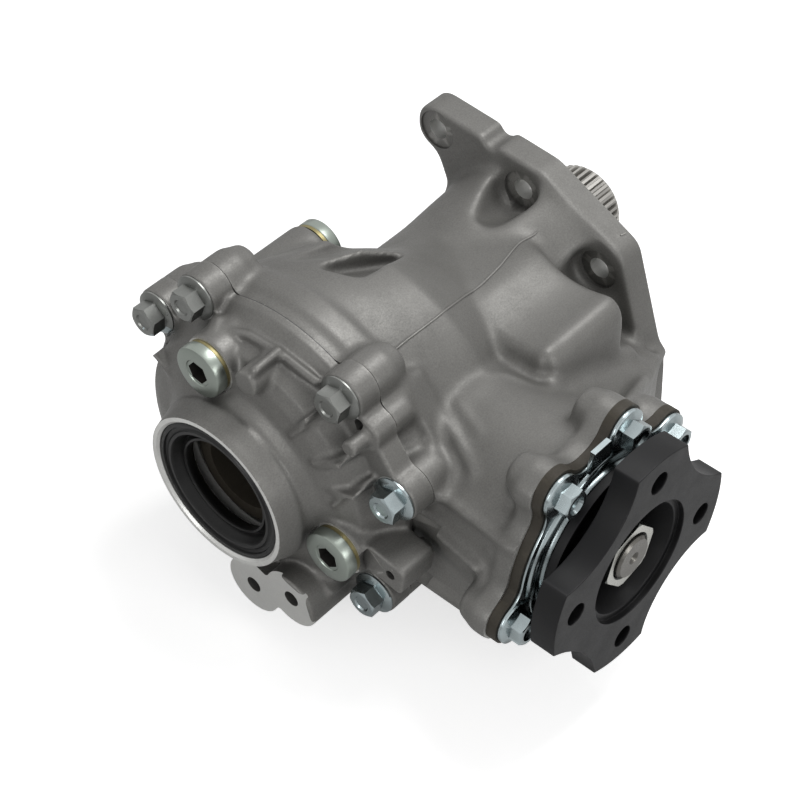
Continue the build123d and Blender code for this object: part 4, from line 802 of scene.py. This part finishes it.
coverLook = {
    "voxel": 0.8, "fillet": 1.5, "round": 0.4, "smooth": 1, "keep": 0.7,
    "grow": [
        {"axis": 0, "plane": -250.0, "side": 1, "shift": 4.0},
        {"axis": 0, "plane": -216.0, "side": -1, "shift": 3.0},
        {"axis": 0, "plane": -208.0, "side": -1, "shift": 2.5},
    ],
    "fill": [
        {
            "profile": [
                (0, -224.5), (38.4, -224.5), (38.4, -203), (45.6, -192), (70.6, -184), (70.6, -171.4),
                (0, -171.4),
            ],
        },
    ],
    "pegs": [
        {"centres": [(-8.5, 63.5)], "start": -207, "end": -188, "radius": 6.4},
        {"centres": coverBolts, "start": plateX - 2, "end": jointX + 3, "radius": 7},
        {"centres": plugCentres, "start": plugSeatX - 2, "end": -180, "radius": 12},
        {"centres": bracketHoles, "start": bracketX - 2, "end": -190, "radius": 6},
        {"centres": dowelHoles + [lugHole], "start": lugX + 1, "end": jointX + 3, "radius": 4},
    ],
    "beads": [
        ([(-188, -33, 68), (-188, -12, 71), (-189, 6, 71), (-191, 14, 69)], 2.2),
        ([(-196, 20, 66), (-190, 24, 66)], 5.0),
        ([(-193, -57, 19), (-190, -60, 22)], 4.0),
    ],
    "webs": [
        ([(-205, -9, 66), (-191, -9, 66), (-203, -12, 72), (-189, -12, 73)], 2.2),
        ([(-202.5, -30.6, 44.1), (-201, -36.8, 51.7), (-189, -41.5, 56), (-190, -36.8, 51.7)], 1.1),
        ([(-202, -42.8, 34.8), (-199, -52.8, 41.2), (-188.5, -63, 48), (-190, -52.8, 41.2)], 1.1),
        ([(-201.5, -53.9, 14.8), (-199.5, -60.5, 25.7), (-189, -66, 31), (-190, -60.5, 25.7)], 1.1),
    ],
    "carve": [],
    "soften": [],
    "seams": [],
    "bores": [
        {"profile": [(0, jointX), (120, jointX), (120, -160), (0, -160)]},
        {"profile": [(0, -240), (60, -240), (60, rimX), (0, rimX)]},
        {
            "profile": [
                (0, -223), (38.1, -223), (38.1, -222), (36.92, -220.8), (36.92, -206), (33.4, -202),
                (33.4, -199.75), (39, -199.75), (39, -180.5), (45, -180.5), (45, -174), (0, -174),
            ],
        },
        {"profile": [(45, -174), (70, -174), (70, -183), (64, -189), (47, -192), (45, -190)]},
    ],
    "pads": [
        {
            "outline": [(9, -52), (9, -86), (-30, -86), (-52, -66), (-46, -44), (-26, -40)],
            "start": -230, "end": bracketX,
        },
    ],
    "holes": [
        {"centres": dowelHoles, "start": jointX - 1, "end": jointX - 9.5, "radius": 3.02},
        {"centres": coverBolts, "start": plateX - 1, "end": jointX + 1, "radius": 5.5},
        {"centres": coverBolts, "start": -203, "end": plateX, "radius": 11.4},
        {"centres": plugCentres, "start": plugSeatX - 1, "end": -184, "radius": 9.0},
        {"centres": plugCentres, "start": -216, "end": plugSeatX, "radius": 13.9},
        {"centres": bracketHoles, "start": bracketX - 1, "end": -194, "radius": 4.25, "slot": 0},
        {"centres": [lugHole], "start": -206, "end": -187, "radius": 2.5, "slot": 0},
        {"centres": [(-82, -10)], "start": -212, "end": lugX, "radius": 13.0, "slot": 0},
        {"centres": [(-56.9, 57.5)], "start": -188.5, "end": -180.5, "radius": 2.6, "slot": 0},
        {"centres": coverBolts[:1], "start": -206, "end": -190, "radius": 15.0, "slot": 0},
    ],
}


# Flanged bolts, one on each point of a mesh, built by nodes from inputs in metres.
# The shares below shape a head: of the flange's height, the hexagon's width or the dish's radius.
boltShape = {
    "rimShare": 0.35, "skirtSlope": 1.5, "bevelShare": 0.47, "bevelSpread": 1.9, "dishFloor": 0.82,
    "dishTop": 1.18, "footShare": 0.5, "roundSides": 64, "dishSides": 48, "shankSides": 40,
}
boltInputs = {
    "NodeSocketFloat": [
        "Flange Radius", "Flange Height", "Hex Width", "Head Height", "Dish Radius", "Dish Depth",
        "Shank Radius", "Shank Length", "Dull Above",
    ],
    "NodeSocketVector": ["Facing"],
    "NodeSocketMaterial": ["Finish", "Dull Finish"],
    "NodeSocketInt": ["Seed"],
}


def turnedPart(tree, low, high, bottom, top, sides):
    height = mathNode(tree, "SUBTRACT", high, low)
    part = addNode(
        tree, "GeometryNodeMeshCone",
        {"Vertices": sides, "Radius Top": top, "Radius Bottom": bottom, "Depth": height}, fill_type="NGON",
    ).outputs["Mesh"]
    offset = addNode(tree, "ShaderNodeCombineXYZ", {"Z": low}).outputs[0]
    return addNode(tree, "GeometryNodeTransform", {"Geometry": part, "Translation": offset}).outputs[0]


def joined(tree, operation, first, others):
    node = addNode(tree, "GeometryNodeMeshBoolean", operation=operation, solver="MANIFOLD")
    if operation == "DIFFERENCE":
        tree.links.new(first, node.inputs[0])
    else:
        others = [first] + others
    for other in others:
        tree.links.new(other, node.inputs[1])
    return node.outputs["Mesh"]


def oneBolt(tree, given, shape):
    flange, hexWidth, top = given["Flange Height"], given["Hex Width"], given["Head Height"]
    wide, shankRadius, sides = given["Flange Radius"], given["Shank Radius"], shape["roundSides"]
    flangeTop = mathNode(tree, "MULTIPLY", flange, shape["rimShare"])
    narrow = mathNode(tree, "SUBTRACT", wide, mathNode(tree, "MULTIPLY", flange, shape["skirtSlope"]))
    corner = mathNode(tree, "MULTIPLY", hexWidth, 1 / math.sqrt(3))
    bevelTop = mathNode(tree, "MULTIPLY", hexWidth, shape["bevelShare"])
    bevelFoot = mathNode(tree, "ADD", bevelTop, mathNode(tree, "MULTIPLY", top, shape["bevelSpread"]))
    foot = mathNode(tree, "MULTIPLY", flangeTop, shape["footShare"])
    rim = turnedPart(tree, 0.0, flangeTop, wide, wide, sides)
    skirt = turnedPart(tree, flangeTop, flange, wide, narrow, sides)
    hexagonal = turnedPart(tree, foot, top, corner, corner, 6)
    bevel = turnedPart(tree, 0.0, top, bevelFoot, bevelTop, sides)
    bevelled = joined(tree, "INTERSECT", hexagonal, [bevel])
    dishFloor = mathNode(tree, "SUBTRACT", top, given["Dish Depth"])
    dishFoot = mathNode(tree, "MULTIPLY", given["Dish Radius"], shape["dishFloor"])
    above = mathNode(tree, "ADD", top, given["Dish Depth"])
    dishTop = mathNode(tree, "MULTIPLY", given["Dish Radius"], shape["dishTop"])
    dish = turnedPart(tree, dishFloor, above, dishFoot, dishTop, shape["dishSides"])
    dished = joined(tree, "DIFFERENCE", bevelled, [dish])
    shankFoot = mathNode(tree, "MULTIPLY", given["Shank Length"], -1.0)
    shank = turnedPart(tree, shankFoot, foot, shankRadius, shankRadius, shape["shankSides"])
    return joined(tree, "UNION", rim, [skirt, dished, shank])


def makeBoltTree():
    tree = bpy.data.node_groups.new("flangedBolts", "GeometryNodeTree")
    tree.interface.new_socket(name="Points", in_out="INPUT", socket_type="NodeSocketGeometry")
    for kind, labels in boltInputs.items():
        for label in labels:
            tree.interface.new_socket(name=label, in_out="INPUT", socket_type=kind)
    tree.interface.new_socket(name="Bolts", in_out="OUTPUT", socket_type="NodeSocketGeometry")
    given = tree.nodes.new("NodeGroupInput").outputs
    result = tree.nodes.new("NodeGroupOutput")
    bolt = oneBolt(tree, given, boltShape)
    seeded = {"Max": 1.0, "Seed": given["Seed"]}
    twist = addNode(tree, "FunctionNodeRandomValue", seeded, data_type="FLOAT").outputs[1]
    spin = addNode(tree, "ShaderNodeCombineXYZ", {"Z": twist}).outputs[0]
    spinTurn = addNode(tree, "FunctionNodeEulerToRotation", {0: spin}).outputs[0]
    face = addNode(tree, "FunctionNodeEulerToRotation", {0: given["Facing"]}).outputs[0]
    turns = {0: spinTurn, 1: face}
    turn = addNode(tree, "FunctionNodeRotateRotation", turns, rotation_space="GLOBAL").outputs[0]
    placed = addNode(
        tree, "GeometryNodeInstanceOnPoints", {"Points": given["Points"], "Instance": bolt, "Rotation": turn},
    ).outputs[0]
    whole = addNode(tree, "GeometryNodeRealizeInstances", {"Geometry": placed}).outputs[0]
    bright = addNode(
        tree, "GeometryNodeSetMaterial", {"Geometry": whole, "Material": given["Finish"]},
    ).outputs[0]
    position = addNode(tree, "GeometryNodeInputPosition").outputs[0]
    height = addNode(tree, "ShaderNodeSeparateXYZ", {0: position}).outputs[2]
    high = mathNode(tree, "GREATER_THAN", height, given["Dull Above"])
    dulled = {"Geometry": bright, "Selection": high, "Material": given["Dull Finish"]}
    both = addNode(tree, "GeometryNodeSetMaterial", dulled).outputs[0]
    tree.links.new(both, result.inputs[0])
    return tree


def placeBolts(name, points, look, node):
    bm = bmesh.new()
    for point in points:
        bm.verts.new([value * mm for value in point])
    made = makeObject(name, bm)
    modifier = made.modifiers.new("bolts", "NODES")
    modifier.node_group = boltTree
    for item in boltTree.interface.items_tree:
        if item.name in look:
            modifier[item.identifier] = look[item.name]
    applyModifier(made, modifier)
    smoothShade(made, 25)
    finishPiece(made, "housing", node)
    print(name, len(made.data.polygons), "faces")


boltTree = makeBoltTree()
coverBoltLook = {
    "Flange Radius": 0.011, "Flange Height": 0.0022, "Hex Width": 0.014, "Head Height": 0.0095,
    "Dish Radius": 0.0042, "Dish Depth": 0.0007, "Shank Radius": 0.00423, "Shank Length": 0.025,
    "Facing": (0.0, -math.pi / 2, 0.0), "Dull Above": 0.040, "Finish": materials["zincSteel"],
    "Dull Finish": materials["dullZincSteel"], "Seed": 3,
}
outputBoltLook = {
    "Flange Radius": 0.0106, "Flange Height": 0.0024, "Hex Width": 0.013, "Head Height": 0.0085,
    "Dish Radius": 0.0046, "Dish Depth": 0.0020, "Shank Radius": 0.00423, "Shank Length": 0.0196,
    "Facing": (math.pi / 2, 0.0, 0.0), "Dull Above": 1.0, "Finish": materials["zincSteel"],
    "Dull Finish": materials["zincSteel"], "Seed": 8,
}


# A copy of a node's mesh with its sharp edges bevelled
def bevelledCopy(name, node, width):
    bm = mergedMesh(node)
    bmesh.ops.dissolve_limit(bm, angle_limit=math.radians(0.8), verts=bm.verts, edges=bm.edges)
    made = makeObject(name, bm)
    modify(
        made, "BEVEL", width=width * mm, segments=2, limit_method="ANGLE", angle_limit=math.radians(32),
        miter_outer="MITER_ARC", use_clamp_overlap=True,
    )
    smoothShade(made, 30)
    modify(made, "WEIGHTED_NORMAL", keep_sharp=True, weight=90)
    return made


# The plug's profile is radius and height over its seat; the head has a shallow round recess
plugLook = {
    "profile": [
        (0, -12), (8, -12), (8.98, -11), (8.98, 0), (12.8, 0), (13.1, 0.4), (13.1, 4.9), (12.75, 5.65),
        (12, 6), (6.9, 6), (6.5, 5.6), (0, 5.6),
    ],
    "socket": 10.0, "socketStart": 7.0, "socketEnd": -0.5, "washer": 1.8,
}


def makePlug(name, node, centre, face, facing, turn):
    look = plugLook
    seat = face + facing * look["washer"]
    plug = turnedObject(name, [(r, seat + facing * d) for r, d in look["profile"]], centre=(0, *centre))
    paint(plug, "plugSteel", "darkSocket")
    start, end = (seat + facing * look[key] for key in ("socketStart", "socketEnd"))
    socket = prism("socket", hexagon(centre, look["socket"], turn), "X", start, end, 1)
    paint(socket, "plugSteel", "darkSocket")
    cutWith(plug, [socket])
    smoothShade(plug, 30)
    finishPiece(plug, "housing", node)


# Profiles of the nut are radius and place over its seat on the pinion's flange, towards -Y
nutLook = {
    "seat": -150.0, "width": 30.0, "turn": 12.0, "height": 13.0, "endFace": -5.0,
    "chamfer": [(0, -1), (19, -1), (19, -9.9), (16.3, -11.5), (0, -11.5)],
    "collar": [(0, 0), (17.2, 0), (17.5, -0.5), (17.5, -2.1), (15.5, -2.9), (0, -2.9)],
    "bore": [(0, 1), (11.02, 1), (11.02, -10.3), (12.4, -11.7), (0, -11.7)],
}


def makeNut():
    look = nutLook
    seat = look["seat"]
    nut, collar, bore = (
        turnedObject(name, [(r, seat + d) for r, d in look[part]], **onPinion)
        for name, part in (("flangedNut", "chamfer"), ("collar", "collar"), ("bore", "bore"))
    )
    outline = hexagon((pinionX, 0), look["width"], look["turn"])
    sides = prism("sides", outline, "Y", seat, seat - look["height"])
    for other, operation in ((sides, "INTERSECT"), (collar, "UNION")):
        modify(nut, "BOOLEAN", operation=operation, object=other, solver="MANIFOLD")
        bpy.data.objects.remove(other)
    cutWith(nut, [bore])
    paint(nut, "nutSteel", "nutFace")
    for polygon in nut.data.polygons:
        atEnd = polygon.center.y < (seat + look["endFace"]) * mm
        polygon.material_index = int(atEnd and polygon.normal.y < -0.9)
    smoothShade(nut, 25)
    finishPiece(nut, "pinion_group", "pinion_nut")


sealLook = {
    "outer": [
        (36.85, -208), (36.85, -220.2), (36.2, -220.7), (34.6, -220.7), (34.2, -219.6), (33.0, -219.2),
        (32.2, -219.6),
    ],
    "lip": [
        (31.6, -220.4), (30.2, -220.4), (29.4, -219.2), (28.6, -214.5), (27.6, -213.5), (26.8, -214.2),
        (25.6, -216.4), (24.6, -216.6), (24.1, -215.8), (24.3, -213), (25.6, -210.5), (27, -209.5),
        (29.5, -209.2), (33.5, -208),
    ],
}


def makeSeal():
    seal = turnedObject("lipSeal", sealLook["outer"] + sealLook["lip"], steps=128)
    paint(seal, "blackRubber")
    smoothShade(seal, 50)
    finishPiece(seal, "housing", "side_oil_seal")


def makeFlangeAndCage():
    flange = bevelledCopy("propshaftFlange", "companion_flange", 0.55)
    paint(flange, "blackSteel")
    finishPiece(flange, "pinion_group", "companion_flange")
    cage = bevelledCopy("bearingCage", "pinion_bearing_cage", 0.5)
    paint(cage, "oiledIron")
    finishPiece(cage, "housing", "pinion_bearing_cage")


# The deflector's back edge keeps its yellow zinc; the rest is painted black with the flange
deflectorLook = {"bevel": 0.3, "innerRadius": 41.8, "edgeDepth": 0.9}


def makeDeflector():
    look = deflectorLook
    deflector = bevelledCopy("deflectorCup", "dust_deflector", look["bevel"])
    paint(deflector, "blackSteel", "yellowZinc")
    back = max(vertex.co.y for vertex in deflector.data.vertices)
    for polygon in deflector.data.polygons:
        away = math.hypot(polygon.center.x - pinionX * mm, polygon.center.z)
        outside = away > look["innerRadius"] * mm
        polygon.material_index = int(outside and polygon.center.y > back - look["edgeDepth"] * mm)
    finishPiece(deflector, "pinion_group", "dust_deflector")


# Raised rings of the dust shield, with a section of radius and height, and its bent tab
shieldLook = {
    "bevel": 0.35,
    "rings": [
        {"radius": 46.5, "y": -141.2, "section": [(-1.4, 0), (-0.9, -1.7), (0, -2.2), (0.9, -1.7), (1.4, 0)]},
        {"radius": 40.2, "y": -141.0, "section": [(-1.0, 0), (-0.8, -3.6), (0, -4.2), (0.8, -3.6), (1.0, 0)]},
    ],
    "tab": [
        {"y": (-140.6, -142.6), "outline": [(-137, 45), (-122, 45), (-134.5, 58), (-124, 58)]},
        {"y": (-140.6, -143.2), "outline": [(-134.8, 57.4), (-123.8, 57.4), (-134.8, 58.3), (-123.8, 58.3)]},
    ],
}


def makeShield():
    shield = bevelledCopy("dustSheet", "dust_shield", shieldLook["bevel"])
    bm = bmesh.new()
    for ring in shieldLook["rings"]:
        section = [(ring["radius"] + r, ring["y"] + d) for r, d in ring["section"]]
        turnedInto(bm, section, steps=128, **onPinion)
    for part in shieldLook["tab"]:
        hullInto(bm, [(x, y, z) for y in part["y"] for x, z in part["outline"]])
    bmesh.ops.recalc_face_normals(bm, faces=bm.faces)
    raised = makeObject("raised", bm)
    modify(shield, "BOOLEAN", operation="UNION", object=raised, solver="MANIFOLD")
    bpy.data.objects.remove(raised)
    smoothShade(shield, 30)
    paint(shield, "zincSteel")
    finishPiece(shield, "housing", "dust_shield")


shieldFaceY = -141.6
makeCasting("castHousing", "main_housing", housingLook)
makeCasting("castCover", "side_cover", coverLook)
placeBolts("coverBolts", [(plateX, y, z) for y, z in coverBolts], coverBoltLook, "side_cover_bolts")
placeBolts("outputBolts", [(x, shieldFaceY, z) for x, z in outputBolts], outputBoltLook, "output_bolts")
makePlug("upperPlug", "upper_plug", plugCentres[0], plugSeatX, -1, 8.0)
makePlug("lowerPlug", "lower_plug", plugCentres[1], plugSeatX, -1, 21.0)
makePlug("rearPlug", "rear_plug", rearPlugCentre, rearSeatX, 1, 0.0)
makeNut()
makeSeal()
makeFlangeAndCage()
makeDeflector()
makeShield()

# Floor and light, in metres; the floor glows for the camera only, so that it is white in the picture
stageLook = {
    "floor": (0.9, 0.9, 0.9), "floorRadius": 6.0, "floorGap": 0.0005, "glow": 0.62, "world": 0.25,
    "aim": (-0.09, -0.03, 0.0),
    "lamps": [
        {"name": "keyLight", "energy": 5.0, "size": 0.45, "place": (0.22, -0.12, 0.85)},
        {"name": "sideLight", "energy": 1.9, "size": 0.35, "place": (-0.15, -0.95, 0.45)},
        {"name": "frontLight", "energy": 1.5, "size": 0.3, "place": (-0.95, -0.15, 0.35)},
    ],
}


def makeFloor(look):
    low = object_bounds()[0].z
    bm = bmesh.new()
    bmesh.ops.create_circle(bm, cap_ends=True, segments=64, radius=look["floorRadius"])
    floor = makeObject("floor", bm)
    floor.location.z = low - look["floorGap"]
    material = bpy.data.materials.new("paleFloor")
    material.use_nodes = True
    tree = material.node_tree
    shader = next(node for node in tree.nodes if node.type == "BSDF_PRINCIPLED")
    shader.inputs["Base Color"].default_value = (*look["floor"], 1)
    shader.inputs["Roughness"].default_value = 0.9
    shader.inputs["Specular IOR Level"].default_value = 0.1
    shader.inputs["Emission Color"].default_value = (1, 1, 1, 1)
    seen = addNode(tree, "ShaderNodeLightPath").outputs["Is Camera Ray"]
    tree.links.new(mathNode(tree, "MULTIPLY", seen, look["glow"]), shader.inputs["Emission Strength"])
    floor.data.materials.append(material)
    floor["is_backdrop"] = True


# The world is white where it is seen or mirrored, and dimmer as a light
def makeWorld(look):
    world = bpy.data.worlds.new("studio")
    world.use_nodes = True
    tree = world.node_tree
    background = next(node for node in tree.nodes if node.type == "BACKGROUND")
    rays = addNode(tree, "ShaderNodeLightPath").outputs
    seen = mathNode(tree, "MAXIMUM", rays["Is Camera Ray"], rays["Is Glossy Ray"])
    seen = mathNode(tree, "MAXIMUM", seen, rays["Is Transmission Ray"])
    strength = addNode(tree, "ShaderNodeMix", {0: seen, 2: look["world"], 3: 1.0})
    background.inputs["Color"].default_value = (1, 1, 1, 1)
    tree.links.new(strength.outputs[0], background.inputs["Strength"])
    scene.world = world


def makeLamps(look):
    for lamp in look["lamps"]:
        data = bpy.data.lights.new(lamp["name"], "AREA")
        data.energy = lamp["energy"]
        data.size = lamp["size"]
        made = bpy.data.objects.new(lamp["name"], data)
        made.location = lamp["place"]
        made.rotation_euler = (Vector(look["aim"]) - made.location).to_track_quat("-Z", "Y").to_euler()
        scene.collection.objects.link(made)


makeFloor(stageLook)
makeWorld(stageLook)
makeLamps(stageLook)
